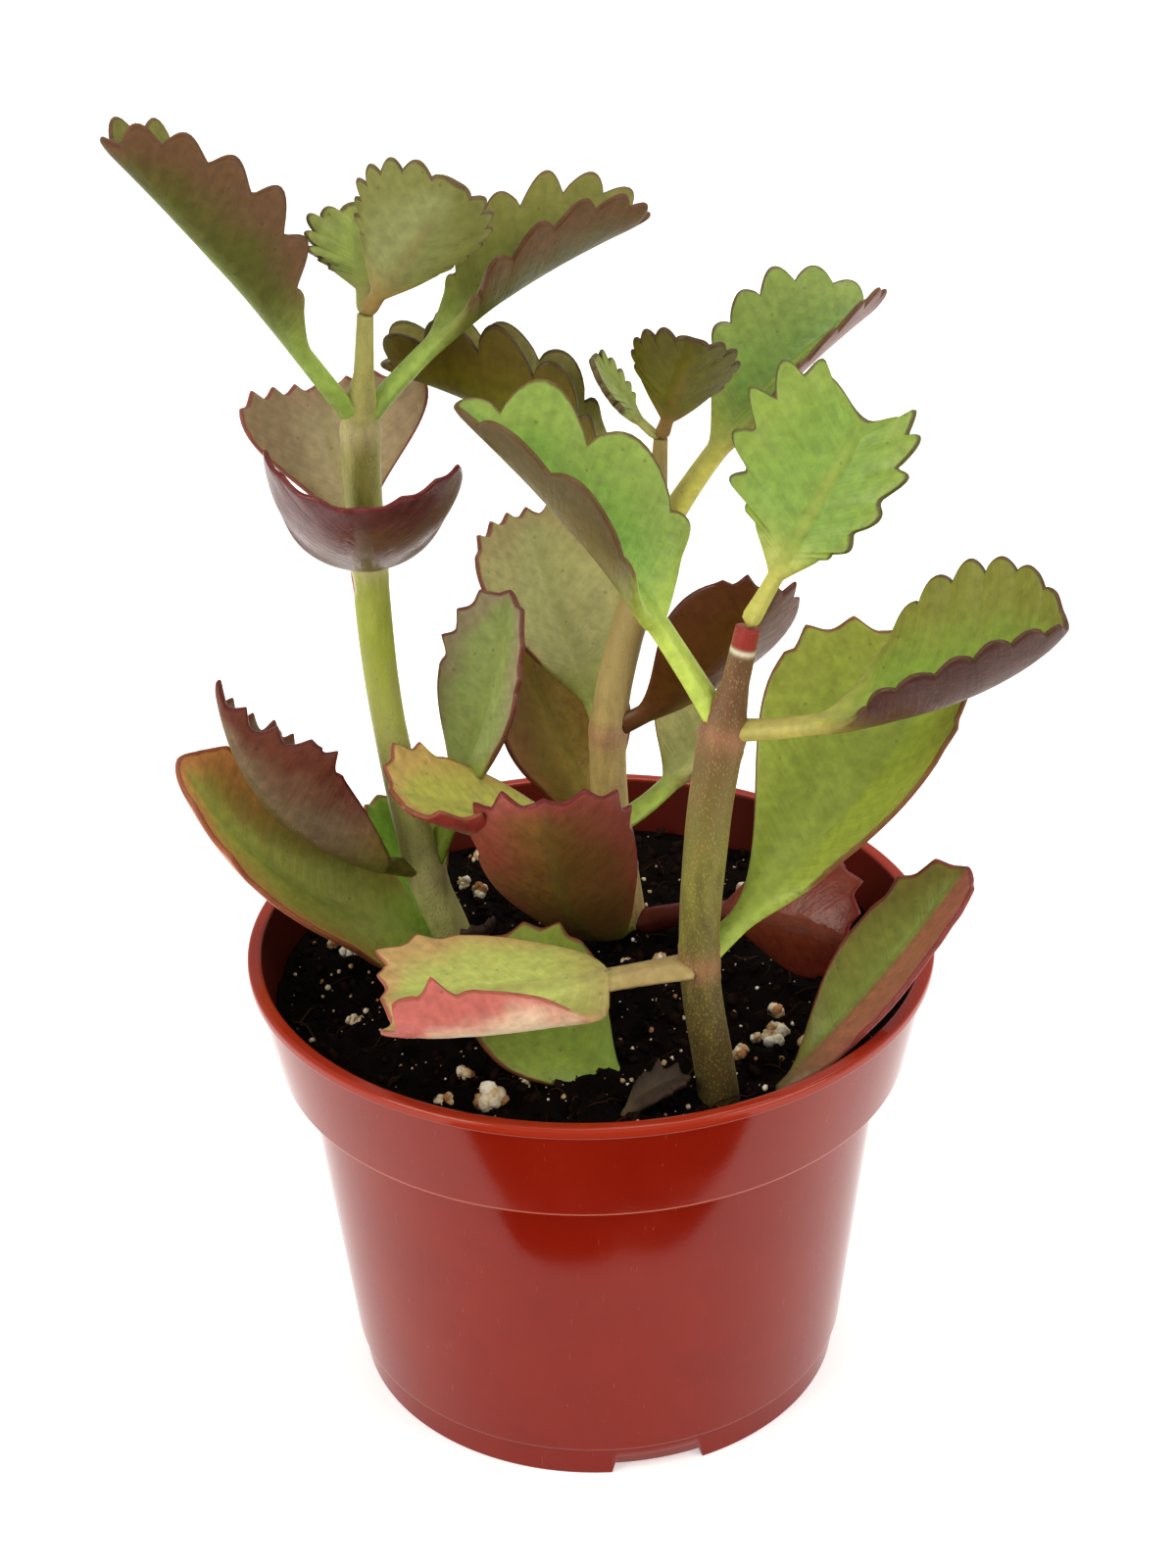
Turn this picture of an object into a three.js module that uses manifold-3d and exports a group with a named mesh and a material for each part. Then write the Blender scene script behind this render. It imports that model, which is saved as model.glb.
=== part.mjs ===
// A potted kalanchoe: three fleshy leafy stems in gritty soil, in a thin moulded plastic nursery pot.
// Units are millimetres and +Z is up. The origin is the centre of the pot's foot, on the surface
// that it stands on. The front, seen in the usual view, is -Y, and +X is to the right.
import * as THREE from "three";
import { mergeVertices } from "three/addons/utils/BufferGeometryUtils.js";
import Module from "manifold-3d";

// Pot: a tapered wall under a taller collar, with a flat lip and a notched foot ring.
const RIM_RADIUS = 54;
const POT_HEIGHT = 76;
const LIP_WIDTH = 2.2;
const LIP_HEIGHT = 1.8;
const LIP_OVERHANG = 0.8;
const COLLAR_FOOT_RADIUS = 50;
const COLLAR_FOOT_Z = 58;
const COLLAR_BEAD = 0.6;
const WALL_TOP_RADIUS = 46.4;
const WALL_FOOT_RADIUS = 40.5;
const FOOT_HEIGHT = 5.2;
const FOOT_INSET = 0.8;
const FOOT_TAPER = 0.3;
const WALL = 1.2;
const FLOOR_UNDER = 2.3;
const FLOOR_TOP = 3.5;
const POT_SIDES = 60;
const NOTCHES = 3;
const NOTCH_CENTRE_DEG = -77;
const NOTCH_SPAN_DEG = 21;
const NOTCH_HEIGHT = 2.1;
const DRAIN_HOLES = 6;
const DRAIN_RADIUS = 4.5;
const DRAIN_RING_RADIUS = 27;
const DRAIN_SIDES = 16;

// Soil: its level under the rim, its swells, and the grit that stands out of it.
const SOIL_Z = 67;
const SOIL_SWELL = 0.7;
const SOIL_SIDES = 48;
const SOIL_RINGS = 8;
const GRIT_COUNT = 20;
const GRIT_SEED = 7;
const GRIT_SMALLEST = 1.1;
const GRIT_LARGEST = 2.1;
const GRIT_FIELD_RADIUS = 44;

// The larger grains that lie in plain sight: x, y and radius.
const PLACED_GRIT = [
  [-15.6, -33.4, 3.0],
  [-22.1, -33.1, 1.9],
  [-19.4, -26.7, 1.7],
  [27.9, -17.8, 2.7],
  [28.3, -10.9, 1.8],
  [22.3, -23.0, 1.8],
  [-18.7, 40.6, 1.9],
  [-18.4, 27.3, 1.9],
  [-21.0, 30.5, 1.5],
  [-39.4, 9.4, 1.9],
  [-42.0, 12.5, 1.4],
  [40.5, 27.0, 1.6],
];

// Every piece that meets another keeps this much clear of it.
const CLEARANCE = 0.3;
const STEM_SIDES = 12;
const STEM_STEPS = 2;

// Each stem's centreline from 20 mm under the soil to its tip, with the radius at each point. The
// nodes name the points that the leaves grow from.
const STEMS = {
  left: {
    points: [
      [-20.5, 15, 46, 2.9],
      [-22.3, 14, 66, 3.2],
      [-26.3, 13, 80.5, 3.1],
      [-30.9, 13, 107, 2.6],
      [-32.4, 12, 135.5, 2.8],
      [-32.4, 11, 157, 2.9],
      [-31.4, 10.5, 166, 1.5],
      [-30.6, 10, 175, 1.2],
    ],
    nodes: { base: 1, low: 2, middle: 4, top: 5, bud: 7 },
  },
  middle: {
    points: [
      [6.8, 19, 46, 2.9],
      [6.2, 18, 66, 3.0],
      [4.6, 17, 80.8, 3.0],
      [3.9, 16.2, 86, 3.0],
      [3.4, 15, 104, 2.9],
      [6.4, 15, 120.2, 2.7],
      [11.1, 17, 134, 2.6],
      [11.8, 17.4, 144.5, 1.4],
      [12.2, 17.4, 152, 1.1],
    ],
    nodes: { base: 1, foot: 2, low: 3, middle: 4, top: 6, bud: 8 },
  },
  right: {
    points: [
      [19.6, -33.5, 46, 2.9],
      [18.6, -33, 66, 3.1],
      [15.8, -32, 90, 2.9],
      [16.9, -31, 111, 3.2],
      [19.1, -30, 126.3, 3.3],
      [21.0, -29.4, 134, 1.95],
      [22.7, -29, 142, 1.75],
    ],
    nodes: { base: 1, low: 2, top: 4, bud: 6 },
  },
};

// What a leaf has unless its row says otherwise. tip is where it ends. lift arches the midrib up,
// and knee is how far along the bend comes. petiole is the stalk's length and stalk its half width.
// half is the blade's half width, and sides scale the left and right halves, seen from the stem.
// fold raises each half off the midrib and curl rolls its edge up, in degrees. roll turns the blade
// about the midrib, and turn adds to that by the tip. dent pulls the tip's middle in, and bare is
// the share of the lobed edge that stays plain at the tip. columns is how many strips span each
// half, and clears names the leaves that this one is cut back from.
const LEAF = {
  lift: 0,
  knee: 0.5,
  petiole: 10,
  stalk: 1.9,
  half: 14,
  sides: [1, 1],
  fold: [30, 30],
  curl: [0, 0],
  roll: 0,
  turn: 0,
  dent: 0,
  bare: 0,
  columns: 2,
  clears: [],
};

// The ages of leaf. widest is where along the blade it is widest, blunt rounds its tip and cuneate
// narrows its foot. lobed is the share of its edge with lobes, depth is how deep they are, and
// crisp is the power that narrows each of them. spread below 1 makes them wider towards the foot,
// above 1 towards the tip.
const AGES = {
  crown: { widest: 0.55, blunt: 2.5, cuneate: 1.35, lobed: 0.8, lobes: 5, depth: 4, crisp: 0.75,
    spread: 0.85, round: true },
  grown: { widest: 0.6, blunt: 2.4, cuneate: 1.25, lobed: 0.5, lobes: 4, depth: 1.6, crisp: 1.2,
    spread: 1, round: false },
  basal: { widest: 0.58, blunt: 2.3, cuneate: 1.2, lobed: 0.42, lobes: 3, depth: 1.2, crisp: 1.2,
    spread: 1, round: false },
  bud: { widest: 0.6, blunt: 3, cuneate: 1.2, lobed: 0.8, lobes: 6, depth: 1.6, crisp: 0.75,
    spread: 1.4, round: true },
  dry: { widest: 0.5, blunt: 2.0, cuneate: 1.0, lobed: 0.6, lobes: 3, depth: 1.0, crisp: 1.2,
    spread: 1, round: false },
};

// How leaf thickness runs: stalk's foot, stalk, blade at its midrib, tip, and the edge all round.
// A slimmer stalk is thinner in the same measure.
const FOOT_THICK = 3.0;
const STALK_THICK = 2.8;
const BLADE_THICK = 2.0;
const TIP_THICK = 1.4;
const EDGE_THICK = 0.8;
const FOOT_FLARE = 0.35;

const LEAVES = [
  { name: "left_crown_west", stem: "left", node: "top", age: "crown", tip: [-64, -4, 204],
    lift: 1, petiole: 15, half: 11.2, widest: 0.5, blunt: 2.2, lobed: 0.86, lobes: 6, depth: 3.4,
    crisp: 1.3, fold: [60, 55], curl: [10, 10], roll: 10, columns: 1 },
  { name: "left_crown_east", stem: "left", node: "top", age: "crown", tip: [10, 28, 182], lift: 4,
    knee: 0.4, petiole: 16, half: 11.5, lobed: 0.84, lobes: 6, depth: 3.2, crisp: 1.1,
    fold: [45, 55], curl: [5, 5], roll: 5, columns: 1 },
  { name: "left_bud_front", stem: "left", node: "bud", age: "bud", tip: [-16.3, 2, 196],
    petiole: 4, stalk: 1.2, half: 10.2, sides: [0.9, 1.08], widest: 0.66, blunt: 1.75,
    lobed: 0.74, lobes: 7, depth: 1.5, crisp: 0.9, fold: [20, 12], curl: [8, 8], roll: -62,
    columns: 1 },
  { name: "left_bud_back", stem: "left", node: "bud", age: "bud", tip: [-31.5, 18, 188.6],
    lift: -1, petiole: 4, stalk: 1.1, half: 7.6, fold: [15, 15], curl: [10, 10], columns: 1,
    clears: ["left_bud_front"] },
  { name: "left_mid_front", stem: "left", node: "middle", age: "grown", tip: [-31, -13, 154],
    lift: -3, petiole: 4, half: 19, sides: [0.97, 1.08], widest: 0.7, blunt: 3, cuneate: 0.9,
    depth: 0.5, fold: [6, 6], curl: [60, 70] },
  { name: "left_mid_back", stem: "left", node: "middle", age: "grown", tip: [-40, 29, 157.3],
    lift: -2, petiole: 5, half: 16.5, widest: 0.85, blunt: 3.4, cuneate: 1.7, lobed: 0.4,
    fold: [18, 18], curl: [15, 15] },
  { name: "left_low_west", stem: "left", node: "low", age: "grown", tip: [-56, -2, 122], lift: -9,
    petiole: 9, half: 12.5, widest: 0.6, blunt: 0.9, cuneate: 0.35, lobed: 0.6, lobes: 5,
    depth: 1.8, fold: [78, 50], curl: [5, 5] },
  { name: "left_low_east", stem: "left", node: "low", age: "grown", tip: [-11, 18.5, 126.6],
    lift: -2, petiole: 14, half: 9.2, widest: 0.58, fold: [15, 25], curl: [10, 10], roll: 30,
    clears: ["middle_foot_back"] },
  { name: "left_base_west", stem: "left", node: "base", age: "basal", tip: [-63, 2, 107],
    lift: -7, petiole: 3, half: 14, widest: 0.45, cuneate: 0.8, fold: [20, 20], curl: [35, 35],
    roll: -35, clears: ["left_low_west"] },
  { name: "left_base_back", stem: "left", node: "base", age: "basal", tip: [-35, 30, 85],
    lift: -3, petiole: 6, half: 9, fold: [25, 25], curl: [20, 20] },
  { name: "left_base_east", stem: "left", node: "base", age: "basal", tip: [-17, 4, 75], lift: -2,
    petiole: 4, half: 4, lobes: 3, depth: 0.5, fold: [25, 25], columns: 1 },
  { name: "middle_base_front", stem: "middle", node: "base", age: "grown",
    tip: [-6.5, -14, 106.7], lift: -8, petiole: 5, half: 14, widest: 0.68, blunt: 3, lobed: 0.42,
    depth: 2, fold: [15, 15], curl: [30, 30], roll: 22 },
  { name: "middle_foot_back", stem: "middle", node: "foot", age: "grown", tip: [-11, 34, 111],
    lift: -2, petiole: 5, half: 14, widest: 0.55, fold: [15, 15], curl: [15, 15] },
  { name: "middle_low_west", stem: "middle", node: "low", age: "grown", tip: [-30, -2, 103],
    lift: -2, petiole: 7, half: 14, sides: [1, 0.8], widest: 0.7, blunt: 3.4, cuneate: 0.9,
    fold: [-20, 22], curl: [75, 20], roll: -5, clears: ["left_low_east", "middle_base_front"] },
  { name: "middle_low_east", stem: "middle", node: "low", age: "grown", tip: [23, 28, 102],
    lift: -3, petiole: 12, half: 10, fold: [25, 25], curl: [10, 10] },
  { name: "middle_mid_west", stem: "middle", node: "middle", age: "grown", tip: [-9, 37, 132.3],
    lift: -2, petiole: 6, half: 15, widest: 0.66, lobed: 0.35, fold: [15, 15], curl: [15, 15],
    clears: ["left_low_east"] },
  { name: "middle_mid_east", stem: "middle", node: "middle", age: "grown", tip: [29, 8, 131],
    lift: -3, petiole: 7, half: 11, lobed: 0.22, lobes: 2, fold: [20, 15], curl: [10, 10],
    roll: -55 },
  { name: "middle_crown_east", stem: "middle", node: "top", age: "crown", tip: [47, 42, 163.5],
    lift: 4, knee: 0.4, petiole: 18, half: 12, sides: [1.15, 1], widest: 0.52, lobes: 6,
    depth: 2.2, crisp: 1, fold: [45, 32], curl: [5, 5], roll: 10, turn: -25, columns: 1 },
  { name: "middle_crown_west", stem: "middle", node: "top", age: "crown", tip: [-29, 23.5, 161.2],
    lift: 5.5, knee: 0.36, petiole: 9, half: 11, lobed: 0.78, fold: [75, 60], curl: [5, 5],
    columns: 1 },
  { name: "middle_bud_front", stem: "middle", node: "bud", age: "bud", tip: [16.8, 9, 170],
    petiole: 4, stalk: 1.1, half: 8.6, sides: [0.95, 0.95], widest: 0.64, blunt: 1.75,
    lobed: 0.74, depth: 1.4, fold: [30, 10], curl: [5, 5], roll: -40, columns: 1 },
  { name: "middle_bud_back", stem: "middle", node: "bud", age: "bud", tip: [2.4, 22, 163.2],
    lift: -1, petiole: 4, stalk: 1, half: 6.5, sides: [1, 0.45], fold: [20, 10], curl: [10, 10],
    columns: 1, clears: ["middle_bud_front"] },
  { name: "middle_base_east", stem: "middle", node: "base", age: "basal", tip: [39.5, -8, 78],
    lift: 4, knee: 0.6, petiole: 22, half: 12, sides: [0.85, 1], fold: [15, 15], curl: [15, 15],
    roll: -105 },
  { name: "right_low_west", stem: "right", node: "low", age: "grown", tip: [-30, -37.5, 88.5],
    lift: -1, petiole: 14, half: 15, sides: [1.5, 1.05], widest: 0.72, blunt: 5, cuneate: 0.45,
    fold: [-35, -5], curl: [95, 10] },
  { name: "right_low_east", stem: "right", node: "low", age: "grown", tip: [53, -15, 130],
    lift: -3, petiole: 8, half: 18, sides: [1.15, 0.8], widest: 0.7, cuneate: 1.6, lobed: 0.4,
    fold: [8, 50], curl: [10, 10], roll: 35 },
  { name: "right_top_west", stem: "right", node: "top", age: "crown", tip: [-16.5, -14, 168.5],
    lift: 3, knee: 0.45, petiole: 18, half: 11.4, sides: [1, 1.15], widest: 0.32, blunt: 1.8,
    cuneate: 0.9, lobed: 0.85, lobes: 3, depth: 4.2, crisp: 0.9, fold: [60, 35], curl: [5, 5],
    roll: -10, columns: 1 },
  { name: "right_top_east", stem: "right", node: "top", age: "crown", tip: [64.5, -46, 149],
    lift: -5, knee: 0.65, petiole: 14, half: 15.5, sides: [1.12, 0.75], widest: 0.5, blunt: 3,
    lobed: 0.82, lobes: 7, depth: 1.7, crisp: 0.8, bare: 0.12, fold: [22, 48], curl: [8, 25],
    roll: 6, turn: 12 },
  { name: "right_bud_leaf", stem: "right", node: "bud", age: "crown", tip: [41, -20, 172],
    petiole: 8, stalk: 1.4, half: 13.5, sides: [1.02, 0.68], widest: 0.56, blunt: 4,
    cuneate: 1.15, lobed: 0.86, lobes: 7, depth: 3.2, crisp: 1.5, dent: 3.5, bare: 0.25,
    round: true, fold: [5, 20], curl: [5, 5], roll: 38, columns: 1 },
  { name: "right_soil_east", stem: "right", node: "base", age: "basal", base: [22.5, -34, 62],
    tip: [57, -18, 96], lift: -2, petiole: 10, half: 12, sides: [0.75, 1], fold: [50, 25],
    curl: [10, 10] },
  { name: "right_soil_west", stem: "right", node: "base", age: "basal", base: [7.3, -27.5, 63],
    tip: [-15, -18, 86], lift: -3, petiole: 5, half: 12, fold: [5, 5], curl: [15, 15],
    roll: -30 },
  { name: "dry_leaf", stem: "right", node: "base", age: "dry", base: [4, -37, 66.2],
    tip: [14, -35, 71.5], lift: 1, petiole: 1.5, stalk: 1, half: 3.2, fold: [35, 20], columns: 1 },
];

// Colours, and how glossy each surface is.
const POT_PLASTIC = { color: 0xa04a38, roughness: 0.42, metalness: 0 };
const SOIL_MIX = { color: 0x2b211b, roughness: 1, metalness: 0 };
const STEM_SKIN = { color: 0x8f8c46, roughness: 0.6, metalness: 0 };
const LEAF_SKIN = { color: 0x7f9a4c, roughness: 0.5, metalness: 0 };
const DRY_LEAF_SKIN = { color: 0x8a6f4a, roughness: 0.9, metalness: 0 };

const wasm = await Module();
wasm.setup();

// Turns a closed geometry into a solid that can be cut and joined.
function solidOf(geometry) {
  const bare = geometry.index ? geometry.toNonIndexed() : geometry.clone();
  bare.deleteAttribute("normal");
  bare.deleteAttribute("uv");
  const merged = mergeVertices(bare, 1e-4);
  return new wasm.Manifold(
    new wasm.Mesh({
      numProp: 3,
      vertProperties: new Float32Array(merged.attributes.position.array),
      triVerts: new Uint32Array(merged.index.array),
    }),
  );
}

// Turns a solid back into a named mesh with its material.
function meshOf(name, solid, finish) {
  const data = solid.getMesh();
  const positions = new Float32Array(data.numVert * 3);
  for (let i = 0; i < data.numVert; i++) {
    const vertex = data.vertProperties.subarray(i * data.numProp, i * data.numProp + 3);
    positions.set(vertex, i * 3);
  }
  const geometry = new THREE.BufferGeometry();
  geometry.setAttribute("position", new THREE.BufferAttribute(positions, 3));
  geometry.setIndex(new THREE.BufferAttribute(new Uint32Array(data.triVerts), 1));
  geometry.computeVertexNormals();
  const mesh = new THREE.Mesh(geometry, new THREE.MeshStandardMaterial(finish));
  mesh.name = name;
  return mesh;
}

// Keeps the largest body of a solid, so that a cut leaves no loose scrap.
function largestBody(solid) {
  return solid.decompose().reduce((a, b) => (b.volume() > a.volume() ? b : a));
}

// Joins rings of points, each with the same count, into a closed skin with flat ends.
function loft(rings) {
  const positions = [];
  const triangle = (a, b, c) => positions.push(...a, ...b, ...c);
  const count = rings[0].length;
  const cap = (ring, flipped) => {
    const middle = [0, 1, 2].map((k) => ring.reduce((sum, p) => sum + p[k], 0) / count);
    for (let i = 0; i < count; i++) {
      const next = ring[(i + 1) % count];
      if (flipped) triangle(middle, next, ring[i]);
      else triangle(middle, ring[i], next);
    }
  };
  for (let r = 0; r + 1 < rings.length; r++) {
    for (let i = 0; i < count; i++) {
      const j = (i + 1) % count;
      triangle(rings[r][i], rings[r][j], rings[r + 1][j]);
      triangle(rings[r][i], rings[r + 1][j], rings[r + 1][i]);
    }
  }
  cap(rings[0], true);
  cap(rings[rings.length - 1], false);
  const geometry = new THREE.BufferGeometry();
  geometry.setAttribute("position", new THREE.Float32BufferAttribute(positions, 3));
  return solidOf(geometry);
}

// A circle of points about the vertical axis.
function levelRing(radius, z, sides, height = () => 0) {
  return Array.from({ length: sides }, (_, i) => {
    const angle = (2 * Math.PI * i) / sides;
    const x = radius * Math.cos(angle);
    const y = radius * Math.sin(angle);
    return [x, y, z + height(x, y)];
  });
}

// A number from 0 to 1 that depends only on its arguments.
function chance(index, seed, side = 0) {
  const value = Math.abs(Math.sin(index * 12.9898 + seed * 78.233 + side * 3.7) * 43758.5453);
  return value - Math.floor(value);
}

function smooth(from, to, x) {
  const t = THREE.MathUtils.clamp((x - from) / (to - from), 0, 1);
  return t * t * (3 - 2 * t);
}

// Reads a curve given by rising xs and their values, held flat past its ends.
function read(xs, values, x) {
  if (x <= xs[0]) return values[0];
  let i = 1;
  while (i < xs.length - 1 && xs[i] < x) i++;
  const t = Math.min(1, (x - xs[i - 1]) / (xs[i] - xs[i - 1]));
  return values[i - 1] + (values[i] - values[i - 1]) * t;
}

// Pot

// The collar stands out from the wall over a ledge, whose top inside is this high.
const LEDGE_TOP = COLLAR_FOOT_Z + COLLAR_BEAD + WALL;

// The inner wall's radius at a height, from the floor up to the ledge.
function insideRadius(z) {
  const lowest = WALL_FOOT_RADIUS - FOOT_INSET - WALL;
  return THREE.MathUtils.mapLinear(z, FLOOR_TOP, LEDGE_TOP, lowest, WALL_TOP_RADIUS - WALL);
}

function potBody() {
  const footRadius = WALL_FOOT_RADIUS - FOOT_INSET;
  const collarTop = RIM_RADIUS - LIP_OVERHANG;
  const profile = [
    [0, FLOOR_UNDER],
    [footRadius - FOOT_TAPER - WALL, FLOOR_UNDER],
    [footRadius - FOOT_TAPER - WALL, 0],
    [footRadius - FOOT_TAPER, 0],
    [footRadius, FOOT_HEIGHT],
    [WALL_FOOT_RADIUS, FOOT_HEIGHT],
    [WALL_TOP_RADIUS, COLLAR_FOOT_Z + COLLAR_BEAD],
    [COLLAR_FOOT_RADIUS, COLLAR_FOOT_Z],
    [collarTop, POT_HEIGHT - LIP_HEIGHT],
    [RIM_RADIUS, POT_HEIGHT - LIP_HEIGHT],
    [RIM_RADIUS, POT_HEIGHT],
    [RIM_RADIUS - LIP_WIDTH, POT_HEIGHT],
    [COLLAR_FOOT_RADIUS - WALL, LEDGE_TOP],
    [insideRadius(LEDGE_TOP), LEDGE_TOP],
    [insideRadius(FLOOR_TOP), FLOOR_TOP],
    [0, FLOOR_TOP],
  ];
  const points = profile.map(([r, z]) => new THREE.Vector2(r, z));
  return solidOf(new THREE.LatheGeometry(points, POT_SIDES).rotateX(Math.PI / 2));
}

// A notch is a wedge of the foot ring, taken out from below.
function notchCutter(index) {
  const centre = NOTCH_CENTRE_DEG + (index * 360) / NOTCHES;
  const outline = new THREE.Shape();
  const inner = WALL_FOOT_RADIUS - FOOT_INSET - FOOT_TAPER - WALL - 1;
  const outer = WALL_FOOT_RADIUS + 1;
  const from = THREE.MathUtils.degToRad(centre - NOTCH_SPAN_DEG / 2);
  const to = THREE.MathUtils.degToRad(centre + NOTCH_SPAN_DEG / 2);
  outline.absarc(0, 0, outer, from, to, false);
  outline.absarc(0, 0, inner, to, from, true);
  outline.closePath();
  const wedge = new THREE.ExtrudeGeometry(outline, {
    depth: NOTCH_HEIGHT + 1,
    bevelEnabled: false,
    curveSegments: 4,
  });
  return solidOf(wedge.translate(0, 0, -1));
}

function drainCutter(index) {
  const angle = (2 * Math.PI * index) / DRAIN_HOLES;
  const drill = new THREE.CylinderGeometry(DRAIN_RADIUS, DRAIN_RADIUS, 2 * FLOOR_TOP, DRAIN_SIDES);
  drill.rotateX(Math.PI / 2);
  drill.translate(DRAIN_RING_RADIUS * Math.cos(angle), DRAIN_RING_RADIUS * Math.sin(angle), FLOOR_TOP);
  return solidOf(drill);
}

function potSolid() {
  let pot = potBody();
  for (let i = 0; i < NOTCHES; i++) pot = pot.subtract(notchCutter(i));
  for (let i = 0; i < DRAIN_HOLES; i++) pot = pot.subtract(drainCutter(i));
  return pot;
}

// Stems

// A stem is a round tube whose radius follows its points. grow makes it wider, as a cutter.
function stemSolid(stem, grow = 0) {
  const points = stem.points.map(([x, y, z]) => new THREE.Vector3(x, y, z));
  const curve = new THREE.CatmullRomCurve3(points, false, "catmullrom", 0.5);
  const spans = points.length - 1;
  const rings = [];
  for (let step = 0; step <= spans * STEM_STEPS; step++) {
    const t = step / (spans * STEM_STEPS);
    const place = Math.min(Math.floor(t * spans), spans - 1);
    const radii = [stem.points[place][3], stem.points[place + 1][3]];
    const radius = THREE.MathUtils.lerp(radii[0], radii[1], t * spans - place) + grow;
    const centre = curve.getPoint(t);
    const along = curve.getTangent(t);
    if (grow && step === 0) centre.addScaledVector(along, -grow);
    if (grow && t === 1) centre.addScaledVector(along, grow);
    const across = new THREE.Vector3(1, 0, 0).addScaledVector(along, -along.x).normalize();
    const up = along.clone().cross(across);
    rings.push(
      Array.from({ length: STEM_SIDES }, (_, i) => {
        const angle = (2 * Math.PI * i) / STEM_SIDES;
        const p = centre.clone();
        p.addScaledVector(across, radius * Math.cos(angle));
        p.addScaledVector(up, radius * Math.sin(angle));
        return p.toArray();
      }),
    );
  }
  return loft(rings);
}

// Leaves

function leafOf(row) {
  return { ...LEAF, ...AGES[row.age], ...row };
}

function nodePoint(stemName, node) {
  const stem = STEMS[stemName];
  return stem.points[stem.nodes[node]].slice(0, 3);
}

// The midrib is a quadratic curve from the leaf's node to its tip. side points to the leaf's left.
function midribOf(leaf) {
  const base = new THREE.Vector3(...(leaf.base || nodePoint(leaf.stem, leaf.node)));
  const tip = new THREE.Vector3(...leaf.tip);
  const chord = tip.clone().sub(base);
  const side = new THREE.Vector3(0, 0, 1).cross(chord).normalize();
  const upper = chord.clone().normalize().cross(side);
  const bend = base.clone().addScaledVector(chord, leaf.knee).addScaledVector(upper, 2 * leaf.lift);
  const curve = new THREE.QuadraticBezierCurve3(base, bend, tip);
  return { curve, side, length: curve.getLength() };
}

// Half of the flat leaf's outline without its lobes, from the tip round to the stalk's foot: a
// rounded end, a foot that narrows by a sine, and a stalk that flares. at is the way along it.
function smoothOutline(leaf, length) {
  const { half, stalk, petiole, blunt, cuneate } = leaf;
  const widestX = petiole + (length - petiole) * leaf.widest;
  const power = 2 / blunt;
  const steps = 60;
  const xs = [];
  const ys = [];
  for (let i = 0; i <= steps; i++) {
    const angle = (Math.PI / 2) * (i / steps);
    xs.push(widestX + (length - widestX) * Math.max(0, Math.cos(angle)) ** power);
    ys.push(half * Math.sin(angle) ** power);
  }
  for (let i = 1; i <= steps; i++) {
    const q = 1 - i / steps;
    xs.push(petiole + (widestX - petiole) * q);
    ys.push(stalk + (half - stalk) * Math.sin((Math.PI / 2) * q) ** cuneate);
  }
  for (let i = 1; i <= steps; i++) {
    const q = 1 - i / steps;
    xs.push(petiole * q);
    ys.push(stalk * (1 + FOOT_FLARE * (1 - q) ** 2));
  }
  const at = [0];
  for (let i = 1; i < xs.length; i++) {
    at.push(at[i - 1] + Math.hypot(xs[i] - xs[i - 1], ys[i] - ys[i - 1]));
  }
  return { xs, ys, at, total: at[at.length - 1] };
}

// The lobed outline at a share of the way from tip to foot. Each lobe stands out along the edge's
// normal and leans towards the tip. foot is where on the midrib that place's rib begins.
function outlinePoint(leaf, outline, length, share, side, seed) {
  const way = share * outline.total;
  const step = 0.004 * outline.total;
  const y = read(outline.at, outline.ys, way);
  const dent = leaf.dent * Math.exp(-((y / (0.4 * leaf.half)) ** 2));
  const x = read(outline.at, outline.xs, way) - (share < 0.5 ? dent : 0);
  const alongX = read(outline.at, outline.xs, way + step) - read(outline.at, outline.xs, way - step);
  const alongY = read(outline.at, outline.ys, way + step) - read(outline.at, outline.ys, way - step);
  const run = Math.hypot(alongX, alongY) + 1e-9;
  const turn = alongX > alongY ? -1 : 1;
  const lean = new THREE.Vector2((turn * alongY) / run + 0.55, (-turn * alongX) / run).normalize();
  const lobedShare = leaf.lobed * (1 - leaf.petiole / outline.total);
  const phase = (share / lobedShare) ** leaf.spread * leaf.lobes + 0.5;
  const lobe = Math.floor(phase);
  const swell = 0.75 + 0.25 * Math.sin(Math.PI * Math.min(1, share / lobedShare));
  const plain = leaf.bare > 0 ? smooth(leaf.bare - 0.08, leaf.bare, share / lobedShare) : 1;
  const fade = smooth(1, 0.88, share / lobedShare) * swell * plain * (lobe === 0 ? 0.8 : 1);
  const depth = leaf.depth * fade * (0.65 + 0.7 * chance(lobe, seed, lobe === 0 ? 0 : side));
  const wave = leaf.round
    ? Math.abs(Math.sin(Math.PI * phase)) ** leaf.crisp
    : 1 - Math.abs(Math.cos(Math.PI * phase)) ** leaf.crisp;
  const out = depth * (wave - 0.35);
  const ribShare = (length - 0.3 * leaf.half - leaf.petiole) / (length - leaf.petiole);
  const ribFoot = leaf.petiole + (x - leaf.petiole - 0.42 * (y - leaf.stalk)) * ribShare;
  return {
    x: x + lean.x * out,
    y: share <= 0 ? 0 : Math.max(0, y + lean.y * out) * leaf.sides[side > 0 ? 0 : 1],
    foot: x > leaf.petiole ? ribFoot : x,
  };
}

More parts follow.
